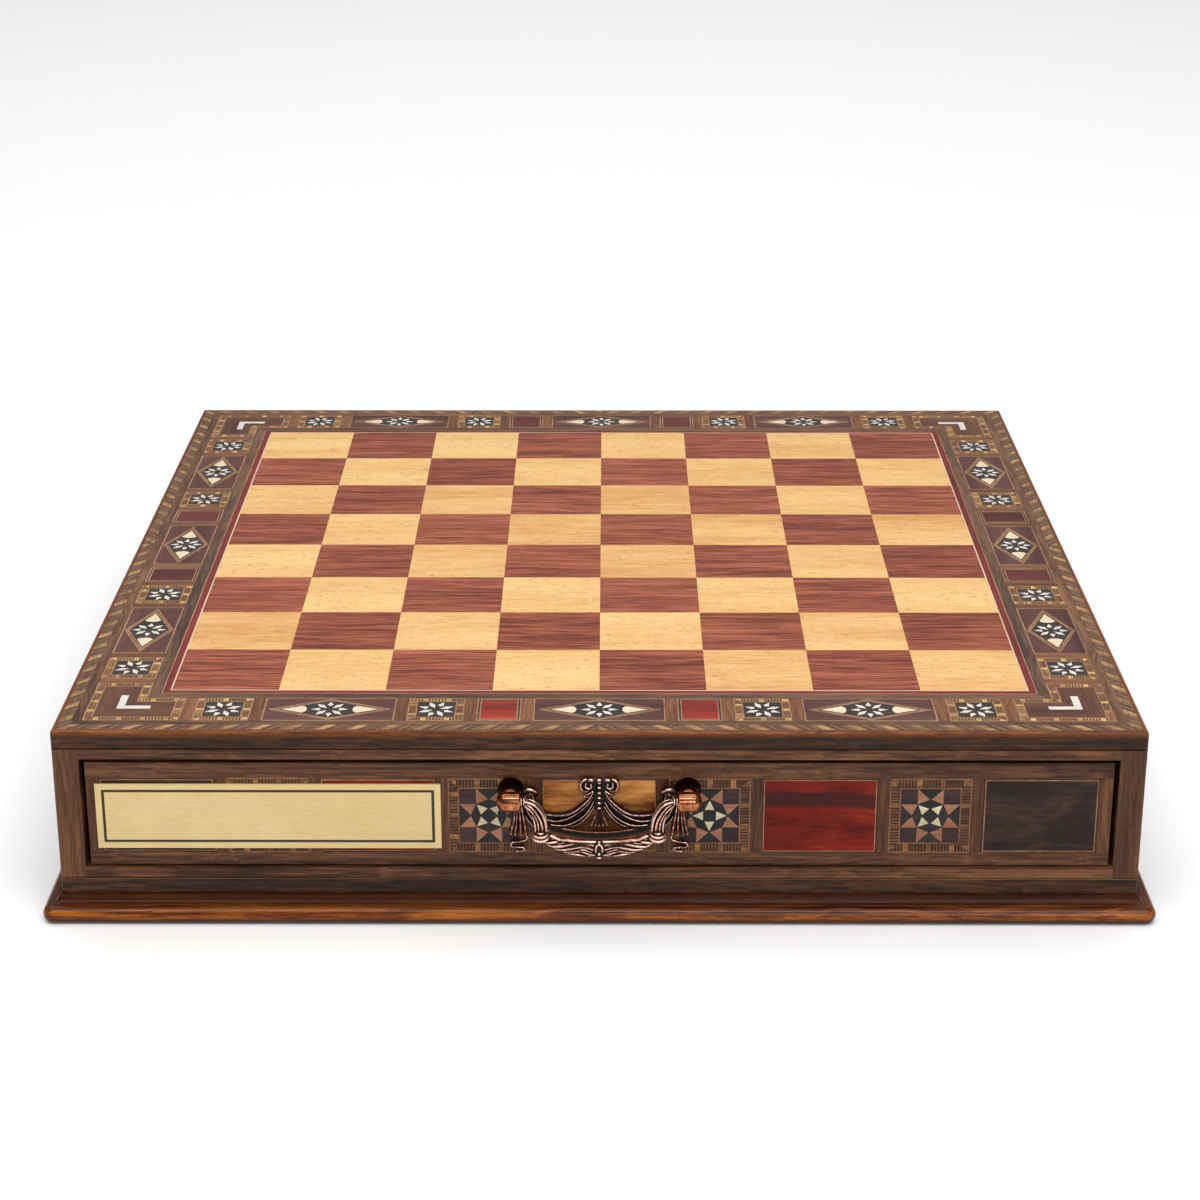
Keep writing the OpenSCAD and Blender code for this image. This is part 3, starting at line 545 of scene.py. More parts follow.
add_wood(
    "dark_squares", (85, 31, 20), (139, 67, 46), (184, 106, 76), SQUARES,
    name="mahogany", stretch=0.02, figure=0.08, figure_share=0.25, streak=2.2, streak_share=1.35,
    pores=0.4, waviness=0.7, cell_share=0.1,
)

# The mosaics and the rope banding
add_ring_wood("tan_mosaic", (138, 98, 60), (172, 130, 84), (198, 156, 106), MOSAIC, seed=8)
add_ring_wood("gold_mosaic", (162, 118, 64), (198, 154, 94), (220, 182, 120), MOSAIC, seed=9)
add_ring_wood("brown_mosaic", (104, 68, 46), (136, 94, 64), (158, 116, 82), MOSAIC, seed=10)
add_ring_wood("dark_mosaic", (60, 36, 24), (90, 58, 40), (114, 78, 54), MOSAIC, seed=11)
add_ring_wood("rope_tan", (118, 84, 50), (148, 112, 70), (172, 136, 90), MOSAIC, seed=12)
add_ring_wood("rope_brown", (82, 56, 42), (108, 78, 58), (128, 94, 72), MOSAIC, seed=29)
add_ring_wood("rope_dark", (66, 44, 34), (88, 62, 47), (106, 78, 60), MOSAIC, seed=30)
add_ring_wood("rope_pale", (104, 76, 56), (134, 102, 78), (154, 122, 94), MOSAIC, seed=31)

# The drawers
add_wood("walnut_drawer", (48, 28, 18), (82, 51, 33), (114, 74, 47), CARCASS, seed=4)
add_wood("front_tan", (78, 49, 31), (106, 70, 44), (130, 90, 58), MOSAIC, seed=13)
add_wood("front_gold", (98, 64, 34), (130, 89, 50), (158, 116, 68), MOSAIC, seed=14)
add_wood("front_brown", (66, 40, 26), (94, 60, 40), (114, 76, 50), MOSAIC, seed=15)
add_wood("front_dark", (32, 19, 13), (50, 31, 21), (70, 45, 31), MOSAIC, seed=16)
add_wood("front_line", (96, 64, 42), (132, 92, 62), (164, 122, 86), streak=1.8, seed=17)
add_wood("front_ground", (24, 22, 24), (38, 34, 34), (54, 46, 42), streak=1.2, streak_share=0.5, seed=18)
add_wood("front_purple", (40, 25, 27), (57, 37, 38), (72, 48, 46), streak=1.0, streak_share=0.5, seed=19)
add_wood("tan_wood", (128, 84, 62), (154, 106, 80), (172, 126, 96), CALM, seed=20)
add_wood("cream_wood", (172, 160, 126), (196, 184, 150), (212, 200, 168), CALM, seed=21)
add_wood("drawer_wood", *DRAWER_TONES, DRAWER, seed=22)
add_wood("drawer_wood_side", *DRAWER_TONES, DRAWER, grain="Y", seed=23)
add_wood("drawer_ply", (168, 134, 96), (190, 156, 116), (204, 172, 132), RAW, roughness=0.6, seed=24)

OLIVE_TONES = [(96, 50, 16), (164, 102, 46), (202, 142, 72)]
DARK_TONES = [(30, 21, 19), (43, 30, 26), (64, 43, 34)]
RED_TONES = [(80, 9, 1), (110, 20, 6), (136, 36, 13)]
# Dark patina, copper, and a pale pink painted highlight as the last tone
COPPER_PATINA_AND_HIGHLIGHT_TONES = [(15, 8, 6), (62, 32, 23), (146, 86, 66), (236, 194, 174)]

finishes |= {
    # The olive panel's darker lower band is a painted shadow of the handle
    "olive_panel": figured_panel("olive_panel", OLIVE_TONES, band=(24.0, 42.2, (70, 44, 26))),
    "dark_panel": figured_panel("dark_panel", DARK_TONES, cloud=0.08),
    "red_panel": figured_panel("red_panel", RED_TONES, band=(44.9, 50.6, (44, 18, 18))),
    "bone": bone("white_bone", (236, 228, 218), (202, 192, 184)),
    "cream_bone": bone("cream_bone", (240, 222, 194), (222, 194, 154), 3.0),
    "felt": felt("felt", (18, 52, 34), (36, 84, 56)),
    "brass": brass("plate_brass"),
    "enamel": enamel("enamel", (34, 26, 20)),
    "steel": plain_metal("steel", (150, 150, 152), 0.35),
    "copper": copper("antique_copper", COPPER_PATINA_AND_HIGHLIGHT_TONES, 0.2),
    "polished_copper": polished_copper("polished_copper"),
}


def give(mesh, names):
    """Gives a mesh the finishes with these names and no others."""
    mesh.materials.clear()
    for name in names:
        mesh.materials.append(finishes[name])


def finish_faces(name, names, choose):
    """Gives each face of a carried-over part one of several finishes, by its middle in millimetres."""
    mesh = nodes[name].data
    give(mesh, names)
    for face in mesh.polygons:
        face.material_index = choose(face.center / MM, face.normal)


def add_object(name, data):
    """A new object in the scene."""
    made = bpy.data.objects.new(name, data)
    bpy.context.scene.collection.objects.link(made)
    return made


def smooth(mesh):
    for face in mesh.polygons:
        face.use_smooth = True


def mesh_from(name, points, faces):
    mesh = bpy.data.meshes.new(name)
    mesh.from_pydata(points, [], faces)
    return mesh


# Flat outlines --------------------------------------------------------------


def inset(outline, distance):
    """The outline moved inwards by distance; it runs anticlockwise."""
    points = [Vector(p) for p in outline]
    moved = []
    for i, point in enumerate(points):
        before = (point - points[i - 1]).normalized()
        after = (points[(i + 1) % len(points)] - point).normalized()
        n1, n2 = Vector((-before.y, before.x)), Vector((-after.y, after.x))
        middle = n1 + n2
        moved.append(point + middle * (distance / (1 + n1.dot(n2))))
    return moved


def clip(outline, window):
    """The part of outline inside window, which is convex and runs anticlockwise."""
    points = [Vector(p) for p in outline]
    for i, start in enumerate(window):
        edge = window[(i + 1) % len(window)] - start
        normal = Vector((-edge.y, edge.x))
        kept = []
        for j, point in enumerate(points):
            last = points[j - 1]
            here, there = (point - start).dot(normal), (last - start).dot(normal)
            if here * there < 0:
                kept.append(last + (point - last) * (there / (there - here)))
            if here >= 0:
                kept.append(point)
        points = kept
        if len(points) < 3:
            return []
    return tidy_outline(points)


def tidy_outline(points):
    """Without the points that nearly touch the one before them."""
    kept = [p for i, p in enumerate(points) if (p - points[i - 1]).length > LEAST_EDGE]
    return kept if len(kept) >= 3 else []


def area(points):
    return 0.5 * sum(points[i - 1].x * p.y - points[i - 1].y * p.x for i, p in enumerate(points))


class Inlay:
    """Thin tiles of several woods let into one surface."""

    def __init__(self):
        self.points, self.faces, self.woods, self.order = [], [], [], []

    def tile(self, outline, wood_name):
        """A tile from just above the bottom of the veneer to the finished surface."""
        if len(outline) < 3 or area(outline) < LEAST_AREA:
            return
        outline = inset(outline, GLUE)
        if wood_name not in self.order:
            self.order.append(wood_name)
        start, count = len(self.points), len(outline)
        self.points += [(p.x, p.y, height) for height in (ROOM - VENEER, 0.0) for p in outline]
        self.faces.append([start + count + i for i in range(count)])
        self.faces.append([start + i for i in reversed(range(count))])
        for i in range(count):
            j = (i + 1) % count
            self.faces.append([start + i, start + j, start + count + j, start + count + i])
        self.woods += [self.order.index(wood_name)] * (count + 2)

    def band(self, outline, layers):
        """Bands inside an outline, from the outside in. Each layer is (width, pattern)."""
        outer = [Vector(p) for p in outline]
        for width, pattern in layers:
            inner = inset(outer, width)
            for i, start in enumerate(outer):
                j = (i + 1) % len(outer)
                self.side(i, [start, outer[j], inner[j], inner[i]], width, pattern)
            outer = inner

    def side(self, index, window, width, pattern):
        """Fills one mitred side with the pattern's pieces: (from, to, lean, wood)."""
        start, end = window[:2]
        along = (end - start).normalized()
        inwards = Vector((-along.y, along.x))
        for first, last, lean, wood_name in pattern(index, (end - start).length):
            slab = [
                start + along * (first - lean) - inwards * width,
                start + along * (last - lean) - inwards * width,
                start + along * (last + 2 * lean) + inwards * 2 * width,
                start + along * (first + 2 * lean) + inwards * 2 * width,
            ]
            self.tile(clip(slab, window), wood_name)

    def build(self, name, place, body, node):
        """Makes the piece; place turns (u, v, w) in millimetres into a point of the box."""
        mesh = mesh_from(name, [Vector(place(*p)) * MM for p in self.points], self.faces)
        give(mesh, self.order)
        mesh.polygons.foreach_set("material_index", self.woods)
        mesh.validate()
        mesh.update()
        join_box(name, mesh, body, node)


def join_box(name, mesh, body, node):
    """Adds a made piece that stands for a node of the box."""
    piece = add_object(name, mesh)
    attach(piece, body)
    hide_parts(node)


def on_board(u, v, w):
    return (u, v, BOARD_TOP + w)


def on_front(u, v, w):
    return (u, -FACE_Y - w, FACE_Z + v)


def on_rear(u, v, w):
    return (-u, FACE_Y + w, FACE_Z + v)


def square(x, y, half):
    return [(x - half, y - half), (x + half, y - half), (x + half, y + half), (x - half, y + half)]


def turned(outline, quarter):
    """The outline turned by a number of quarter turns about the middle of the board."""
    turns = [lambda x, y: (x, y), lambda x, y: (-y, x), lambda x, y: (-x, -y), lambda x, y: (y, -x)]
    return [turns[quarter](*p) for p in outline]


# Patterns -------------------------------------------------------------------


def solid_pattern(wood_name):
    """One strip, longer than the side at both ends; the mitres cut it."""
    return lambda index, length: [(-OVERRUN, length + OVERRUN, 0.0, wood_name)]


def mosaic_pattern(rng, woods):
    """Plain blocks with a group of short dark dashes between each two."""
    tan, gold, brown, dark = woods[:4]
    pitch, block, count = MOSAIC_PITCH, MOSAIC_BLOCK, 2 * MOSAIC_DASHES - 1

    def pieces(index, length):
        made = []
        place = length / 2 - pitch * math.ceil(length / pitch / 2) - block / 2
        place += pitch * rng.choice((0.0, 0.5))
        step = (pitch - block) / count
        while place < length + pitch:
            made.append((place, place + block, 0.0, rng.choice((tan, gold))))
            ground = rng.choice((tan, brown, brown))
            for i in range(count):
                first = place + block + i * step
                made.append((first, first + step, 0.0, ground if i % 2 else dark))
            place += pitch
        return made

    return pieces


def rope_pattern(rng):
    """Slanted blocks with thin slanted stripes between them, leaning away from the middle of each side."""
    shades = ["rope_" + shade for shade in "brown dark brown pale dark brown dark pale brown".split()]

    def pieces(index, length):
        lean = ROPE_WIDTH if index % 2 == 0 else -ROPE_WIDTH
        made = []
        place = -2 * ROPE_PITCH
        step = (ROPE_PITCH - ROPE_BLOCK) / len(shades)
        while place < length + 2 * ROPE_PITCH:
            made.append((place, place + ROPE_BLOCK, lean, rng.choice(("rope_tan", "rope_tan", "tan_mosaic"))))
            for i, shade in enumerate(shades):
                first = place + ROPE_BLOCK + i * step
                made.append((first, first + step, lean, shade))
            place += ROPE_PITCH
        return made

    return pieces


# The woods of a mosaic: strips and blocks, other blocks, the ground of the dashes, the dashes, the edge lines
BOARD_WOODS = ("tan_mosaic", "gold_mosaic", "brown_mosaic", "dark_mosaic", "pale_line")
FRONT_WOODS = ("front_tan", "front_gold", "front_brown", "front_dark", "front_line")


def make_rope():
    rng = random.Random(11)
    half = BOARD_HALF - LIPPING - ROOM
    corners = [(-half, -half), (0, -half), (half, -half), (half, 0)]
    corners += [(-x, -y) for x, y in corners]
    inlay = Inlay()
    inlay.band(corners, [(ROPE_WIDTH - 2 * ROOM, rope_pattern(rng))])
    inlay.build("rope_inlay", on_board, "case", "rope_banding")


def mosaic_layers(rng, width, woods):
    """Pale lines at both edges, and the blocks and dashes between two plain strips."""
    line, strip = (MOSAIC_LINE, solid_pattern(woods[4])), (MOSAIC_STRIP, solid_pattern(woods[0]))
    middle = (width - 2 * MOSAIC_LINE - 2 * MOSAIC_STRIP - 2 * ROOM, mosaic_pattern(rng, woods))
    return [line, strip, middle, strip, line]


def make_star_mosaics():
    rng = random.Random(12)
    inlay = Inlay()
    for quarter in range(4):
        for x in STAR_X:
            for side in (-1, 1):
                cell = square(side * x, CELL_MIDDLE, CELL_WIDTH / 2 - ROOM)
                inlay.band(turned(cell, quarter), mosaic_layers(rng, MOSAIC_WIDTH, BOARD_WOODS))
    inlay.build("star_mosaic_inlay", on_board, "case", "star_mosaics")


def corner_outline(shrink):
    """The L-shaped corner cell, with its corner at the lower left of the board."""
    a = CELL_IN - BOARD_HALF + shrink
    b = CELL_IN + CELL_WIDTH - BOARD_HALF - shrink
    c = CELL_IN + CORNER_LEG - BOARD_HALF - shrink
    return [(a, a), (c, a), (c, b), (b, b), (b, c), (a, c)]


def make_corner_mosaics():
    rng = random.Random(13)
    inlay = Inlay()
    for quarter in range(4):
        inlay.band(turned(corner_outline(ROOM), quarter), mosaic_layers(rng, MOSAIC_WIDTH, BOARD_WOODS))
    inlay.build("corner_mosaic_inlay", on_board, "case", "corner_mosaics")


def make_diamond_bands():
    inlay = Inlay()
    line = (RHOMB_LINE, solid_pattern("pale_line"))
    layers = [line, (RHOMB_BAND - 2 * (RHOMB_LINE + ROOM), solid_pattern("brown_mosaic")), line]
    (wide, tall), y = RHOMB, CELL_MIDDLE
    for quarter in range(4):
        for x in DIAMOND_X:
            rhomb = [(x + wide, y), (x, y + tall), (x - wide, y), (x, y - tall)]
            inlay.band(inset(turned(rhomb, quarter), ROOM), layers)
    inlay.build("diamond_band_inlay", on_board, "case", "diamond_bands")


def make_front_mosaics(name, place, body, node, seed):
    rng = random.Random(seed)
    inlay = Inlay()
    for x in FRONT_STAR_X:
        cell = square(x, 0, FRONT_STAR_WIDTH / 2 - ROOM)
        inlay.band(cell, mosaic_layers(rng, FRONT_MOSAIC_WIDTH, FRONT_WOODS))
    inlay.build(name, place, body, node)


def make_base():
    """The moulding round the foot, swept round the case: a bullnose, a step, a cove and a ledge."""
    turn = [math.radians(a) for a in range(0, 91, 10)]
    half_turn = [-a for a in turn[:0:-1]] + turn
    out, up, radius = BULL
    bull = [(out + radius * math.cos(a), up + radius * math.sin(a)) for a in half_turn]
    edge = out + radius
    out, up, radius = COVE
    cove = [(out - radius * math.sin(a), up - radius * math.cos(a)) for a in turn]
    ledge = out - radius
    points, faces = [], []
    profile = [(BASE_INNER, 0.0), *bull, *cove, (ledge, BASE_HEIGHT), (BASE_INNER, BASE_HEIGHT)]
    for out, z in profile:
        round_corner = max(BASE_CORNER - edge + out, LEAST_CORNER)
        straight = BOARD_HALF + out - round_corner
        for x_side, y_side in ((1, 1), (-1, 1), (-1, -1), (1, -1)):
            for t in turn if x_side == y_side else turn[::-1]:
                x, y = straight + round_corner * math.cos(t), straight + round_corner * math.sin(t)
                points.append(Vector((x * x_side, y * y_side, z)) * MM)
    count, around = len(profile), 4 * len(turn)
    for ring in range(count):
        first, second = ring * around, (ring + 1) % count * around
        for i in range(around):
            j = (i + 1) % around
            faces.append((first + i, first + j, second + j, second + i))
    mesh = mesh_from("base_sweep", points, faces)
    give(mesh, ["base"])
    smooth(mesh)
    mesh.set_sharp_from_angle(angle=math.radians(35))
    join_box("base_sweep", mesh, "case", "base_moulding")


# Carried-over parts ---------------------------------------------------------

NODE_FINISHES = {
    "top_panel": "core_board",
    "diamond_grounds": "purple_wood",
    "diamond_fields": "ebonised_wood",
    "bone_drops": "cream_bone",
    "bone_stars": "bone",
    "star_grounds": "ebonised_wood",
    "cell_lines": "pale_line",
    "corner_panels": "brown_panel",
    "corner_marks": "bone",
    "red_line": "red_line",
    "white_line": "white_line",
    "light_squares": "light_squares",
    "dark_squares": "dark_squares",
    "front_top_rail": "walnut",
    "front_bottom_rail": "walnut",
    "rear_top_rail": "walnut",
    "rear_bottom_rail": "walnut",
    "partition": "drawer_wood",
    "drawer_runners": "drawer_wood_side",
    "drawer_kickers": "drawer_wood_side",
}
DRAWER_FINISHES = {
    "drawer_front": "walnut_drawer",
    "drawer_sides": "drawer_wood_side",
    "drawer_back": "drawer_wood",
    "drawer_bottom": "drawer_ply",
    "drawer_felt": "felt",
    "long_divider": "drawer_wood",
    "cross_dividers": "drawer_wood_side",
    "handle_screws": "steel",
}


ENDS = ("front", "rear")
PANEL_WOODS = ("walnut_post", "front_dark", "front_line", "olive_panel", "red_panel", "dark_panel")
VENEER_WOODS = ("walnut_veneer", "inner_veneer", "veneer_block", "ebonised_wood")


def panel_choice(centre, normal):
    """Walnut between the cells. In a cell a dark line, a pale line, then the panel."""
    number = round(centre.x / CELL_STEP / 2)
    beside = PANEL_HALF[0] - abs(centre.x - number * 2 * CELL_STEP)
    inside = min(beside, PANEL_HALF[1] - abs(centre.z - FACE_Z))
    if beside < 0:
        return 0
    if inside < DARK_LINE:
        return 1
    if inside < BOTH_LINES:
        return 2
    return 3 + abs(number)


def ground_choice(centre, normal):
    """A black cross between four purple corners."""
    nearest = min(abs(centre.x - x) for x in FRONT_STAR_X)
    return 1 if nearest > CROSS_HALF and abs(centre.z - FACE_Z) > CROSS_HALF else 0


def veneer_choice(centre, normal):
    """Outer strip, inner strip, blocks between the cells and the dark line of the red cells."""
    edge = BOARD_HALF - max(abs(centre.x), abs(centre.y))
    if edge < CELL_IN:
        return 0
    if edge > CELL_IN + CELL_WIDTH:
        return 1
    along = min(abs(centre.x), abs(centre.y))
    return 3 if abs(along - RED_X) < RED_HALF else 2


def red_choice(centre, normal):
    """A brighter wood in the two cells along the front."""
    return 0 if centre.y < -FIELD_HALF else 1


def lipping_choice(centre, normal):
    """Worn paler along its rounded edge."""
    return 1 if 0.25 < normal.z < 0.97 and abs(normal.x) < 0.5 else 0


def wall_choice(centre, normal):
    return 1 if abs(normal.y) > 0.7 else 0


def board_choice(centre, normal):
    return 1 if abs(normal.z) < 0.5 else 0


def star_point_choice(centre, normal):
    """Cream round the middle of a cell and tan outside."""
    nearest = min(abs(centre.x - x) for x in FRONT_STAR_X)
    return 0 if math.hypot(nearest, centre.z - FACE_Z) < CREAM_RADIUS else 1


def plate_choice(centre, normal):
    """Dark in the engraved line."""
    low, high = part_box("name_plate")
    within = low.y / MM + ENGRAVED < centre.y < high.y / MM - ENGRAVED
    return 1 if within and abs(normal.y) > 0.5 else 0


def finish_parts():
    for name, finish in NODE_FINISHES.items():
        give(nodes[name].data, [finish])
    for end in ENDS:
        for name, finish in DRAWER_FINISHES.items():
            give(nodes[f"{end}_{name}"].data, [finish])
        finish_faces(f"{end}_panels", PANEL_WOODS, panel_choice)
        finish_faces(f"{end}_star_grounds", ("front_ground", "front_purple"), ground_choice)
        finish_faces(f"{end}_star_points", ("cream_wood", "tan_wood"), star_point_choice)
    finish_faces("name_plate", ("brass", "enamel"), plate_choice)
    finish_faces("border_veneer", VENEER_WOODS, veneer_choice)
    finish_faces("red_cells", ("red_wood", "maroon_wood"), red_choice)
    finish_faces("edge_lipping", ("walnut_edge", "lipping"), lipping_choice)
    finish_faces("bottom_board", ("base_board", "walnut_edge"), board_choice)
    for wall in ("left_wall", "right_wall"):
        finish_faces(wall, ("walnut_side", "walnut_post"), wall_choice)


# Cast handles ---------------------------------------------------------------


def smooth_path(points, steps=6):
    """A smooth curve through the points."""
    points = [Vector(p) for p in points]
    ends = [2 * points[0] - points[1], *points, 2 * points[-1] - points[-2]]
    made = []
    for i in range(1, len(ends) - 2):
        a, b, c, d = ends[i - 1 : i + 3]
        for step in range(steps):
            t = step / steps
            bend, twist = 2 * a - 5 * b + 4 * c - d, 3 * b - a - 3 * c + d
            made.append(0.5 * ((2 * b) + (c - a) * t + bend * t * t + twist * t**3))
    made.append(points[-1])
    return made


class Casting:
    """Solid shapes that are melted into one casting. x is across, u up and w out from the face."""

    def __init__(self):
        self.points, self.faces = [], []

    def add(self, points, faces):
        start = len(self.points)
        self.points += points
        self.faces += [[start + i for i in face] for face in faces]

    def rod(self, path, widths, heights=None, sides=12, steps=6):
        """A rod with rounded ends along points (x, u, w): radii in the plane, and heights out of it."""
        line = smooth_path(path, steps)
        heights = heights or widths
        rings = []
        count = len(line)
        for i, centre in enumerate(line):
            t = i / (count - 1) * (len(widths) - 1)
            k = min(int(t), len(widths) - 2)
            wide = widths[k] + (widths[k + 1] - widths[k]) * (t - k)
            high = heights[k] + (heights[k + 1] - heights[k]) * (t - k)
            along = (line[min(i + 1, count - 1)] - line[max(i - 1, 0)]).normalized()
            rings.append((centre, along, wide, high))
        before, after = self.cap(rings[0], -1), self.cap(rings[-1], 1)
        self.tube(before[::-1] + rings + after, sides)

    @staticmethod
    def cap(ring, way):
        """Smaller and smaller rings beyond a rod's first or last one."""
        centre, along, wide, high = ring
        steps = [(0.35, 0.94), (0.75, 0.66), (0.97, 0.24)]
        return [(centre + along * wide * (way * out), along, wide * part, high * part) for out, part in steps]

    def tube(self, rings, sides):
        points, faces = [], []
        for centre, along, wide, high in rings:
            side = along.cross(Vector((0, 0, 1)))
            side = side.normalized() if side.length > 1e-6 else Vector((1, 0, 0))
            up = side.cross(along)
            for s in range(sides):
                angle = 2 * math.pi * s / sides
                points.append(centre + side * (math.cos(angle) * wide) + up * (math.sin(angle) * high))
        for r in range(len(rings) - 1):
            for s in range(sides):
                n = (s + 1) % sides
                faces.append([r * sides + s, r * sides + n, (r + 1) * sides + n, (r + 1) * sides + s])
        faces.append(list(range(sides))[::-1])
        faces.append([(len(rings) - 1) * sides + s for s in range(sides)])
        self.add(points, faces)

    def disc(self, x, u, w, radius, thick, along=(0, 1, 0)):
        """A flat ring with its edge slightly rounded."""
        middle, axis = Vector((x, u, w)), Vector(along)
        places = ((-0.5, 0.9), (-0.32, 1.0), (0.32, 1.0), (0.5, 0.9))
        self.tube([(middle + axis * (t * thick), axis, radius * r, radius * r) for t, r in places], 32)

    def bead(self, x, u, w, wide, tall, deep):
        mesh = bmesh.new()
        bmesh.ops.create_uvsphere(mesh, u_segments=16, v_segments=10, radius=1.0)
        points = [Vector((x + v.co.x * wide, u + v.co.y * tall, w + v.co.z * deep)) for v in mesh.verts]
        faces = [[v.index for v in face.verts] for face in mesh.faces]
        mesh.free()
        self.add(points, faces)

    def slab(self, outline, low, high):
        count = len(outline)
        points = [Vector((x, u, low)) for x, u in outline] + [Vector((x, u, high)) for x, u in outline]
        faces = [list(range(count))[::-1], list(range(count, 2 * count))]
        faces += [[i, (i + 1) % count, count + (i + 1) % count, count + i] for i in range(count)]
        self.add(points, faces)

    def mirror(self, start):
        """Repeats everything since a mark on the other side."""
        points, faces = self.points[start[0] :], self.faces[start[1] :]
        shift = len(self.points) - start[0]
        self.points += [Vector((-p.x, p.y, p.z)) for p in points]
        self.faces += [[i + shift for i in reversed(face)] for face in faces]

    def mark(self):
        return len(self.points), len(self.faces)

    def melt(self, name, grain, place):
        """One smooth skin over all the shapes, as a mesh of the box in metres."""
        mesh = mesh_from(name, self.points, self.faces)
        mesh.update()
        rough = add_object(name + "_rough", mesh)
        remesh = rough.modifiers.new("skin", "REMESH")
        remesh.mode, remesh.voxel_size, remesh.adaptivity = "VOXEL", grain, 0.0
        soften = rough.modifiers.new("soften", "SMOOTH")
        soften.factor, soften.iterations = 0.5, 2
        skin = baked(rough)
        # Wear with painted light and shade, kept on the points for the copper finish
        high = burnish(skin, grain)
        attribute = skin.attributes.new("burnish", "FLOAT", "POINT")
        attribute.data.foreach_set("value", high)
        made = thin_out(skin, name)
        for v in made.vertices:
            v.co = Vector(place(*v.co)) * MM
        made.update()
        smooth(made)
        return made


def baked(piece):
    """The piece's mesh with its modifiers applied. The piece itself goes."""
    graph = bpy.context.evaluated_depsgraph_get()
    made = bpy.data.meshes.new_from_object(piece.evaluated_get(graph))
    bpy.data.objects.remove(piece)
    return made


SOFT_STEPS = 14  # how often the copy that ridges are measured from is smoothed


def burnish(mesh, grain):
    """How worn each point is, from 0 in a recess to 1 on a ridge, with painted light and shade: lighter where
    the surface faces up and where it stands well out from the drawer front.
    """
    count = len(mesh.vertices)
    co, normal = np.zeros(count * 3), np.zeros(count * 3)
    mesh.vertices.foreach_get("co", co)
    mesh.vertices.foreach_get("normal", normal)
    co, normal = co.reshape(-1, 3), normal.reshape(-1, 3)
    edges = np.zeros(len(mesh.edges) * 2, int)
    mesh.edges.foreach_get("vertices", edges)
    a, b = edges.reshape(-1, 2).T
    links = np.bincount(a, minlength=count) + np.bincount(b, minlength=count)
    soft = co.copy()
    for _ in range(SOFT_STEPS):
        total = np.zeros_like(soft)
        for axis in range(3):
            total[:, axis] = np.bincount(a, soft[b, axis], count) + np.bincount(b, soft[a, axis], count)
        soft = total / np.maximum(links, 1)[:, None]
    out = ((co - soft) * normal).sum(1) / grain
    # Painted light: surfaces that face up are lighter, those that face down darker
    painted_top_light = np.clip(0.5 + 0.8 * normal[:, 1], 0, 1)
    # Handling wear together with painted light: parts standing further out from the drawer front are lighter,
    # the recessed plate darker
    handled_wear_and_painted_light = 0.3 + 0.35 * np.clip((co[:, 2] - 0.6) / 2.0, 0, 1) + 0.35 * np.clip(co[:, 2] / PIVOT_OUT, 0, 1)
    ridge = 0.06 + 2.1 * np.clip(out, 0, 1) ** 1.3
    return np.clip(ridge * (0.5 + 0.5 * painted_top_light) * handled_wear_and_painted_light, 0, 1).astype(np.float32)


def thin_out(skin, name):
    """Fewer faces where the skin is plain."""
    piece = add_object(name + "_skin", skin)
    thin = piece.modifiers.new("thin", "DECIMATE")
    thin.ratio = 0.4
    made = baked(piece)
    made.name = name
    return made


def front_handle(x, u, w):
    return (x, -FACE_Y - w, PIVOT_Z + u)


# Ridges of the back plate and of the bail's grip: points (x, u) and radii along each
SWAG_FLUTES = [
    ([(2.2, -0.6), (3.5, -3.0), (5.2, -4.9), (7.0, -6.6), (9.2, -8.3), (11.6, -9.5), (13.7, -9.9),
      (16.7, -10.0), (19.8, -9.6)], (0.6, 0.9, 0.95, 0.8)),
    ([(2.4, -2.6), (3.6, -4.6), (5.6, -6.9), (8.5, -9.3), (11.1, -11.0), (13.9, -12.0), (16.3, -12.4),
      (18.5, -12.1)], (0.45, 0.7, 0.8, 0.6)),
    ([(2.1, -4.6), (3.3, -7.0), (5.2, -9.7), (8.0, -12.0), (11.1, -13.6), (13.9, -14.2), (17.7, -13.9)],
     (0.45, 0.65, 0.7, 0.5)),
    ([(1.9, -6.6), (3.0, -8.4), (5.2, -11.3), (8.0, -13.7), (11.0, -14.8)], (0.4, 0.55, 0.55, 0.35)),
    ([(19.8, -9.6), (21.8, -7.8), (23.4, -5.0), (24.4, -2.6)], (0.75, 0.7, 0.5)),
    ([(18.5, -12.1), (21.5, -10.8), (24.0, -8.0), (26.0, -4.5), (27.5, -2.0)], (0.6, 0.6, 0.5)),
    ([(26.9, -7.2), (25.2, -10.4), (22.7, -13.9)], (0.5, 0.55, 0.4)),
    ([(28.2, -8.2), (26.6, -11.4), (24.2, -14.6)], (0.45, 0.5, 0.35)),
]
SWAG_BACK = [(1.2, -0.2), (3.4, -2.0), (5.2, -4.1), (9.2, -7.5), (12.6, -9.1), (16.7, -9.3), (20.4, -8.8),
             (20.0, -14.8), (14.0, -15.0), (10.8, -15.3), (7.6, -14.4), (4.4, -11.6), (1.2, -7.6)]
WING_BACK = [(19.4, -9.4), (22.7, -4.0), (27.0, 0.6), (30.5, 2.4), (34.0, 2.4), (34.0, -4.0),
             (29.0, -7.6), (25.0, -14.6), (19.4, -15.0)]
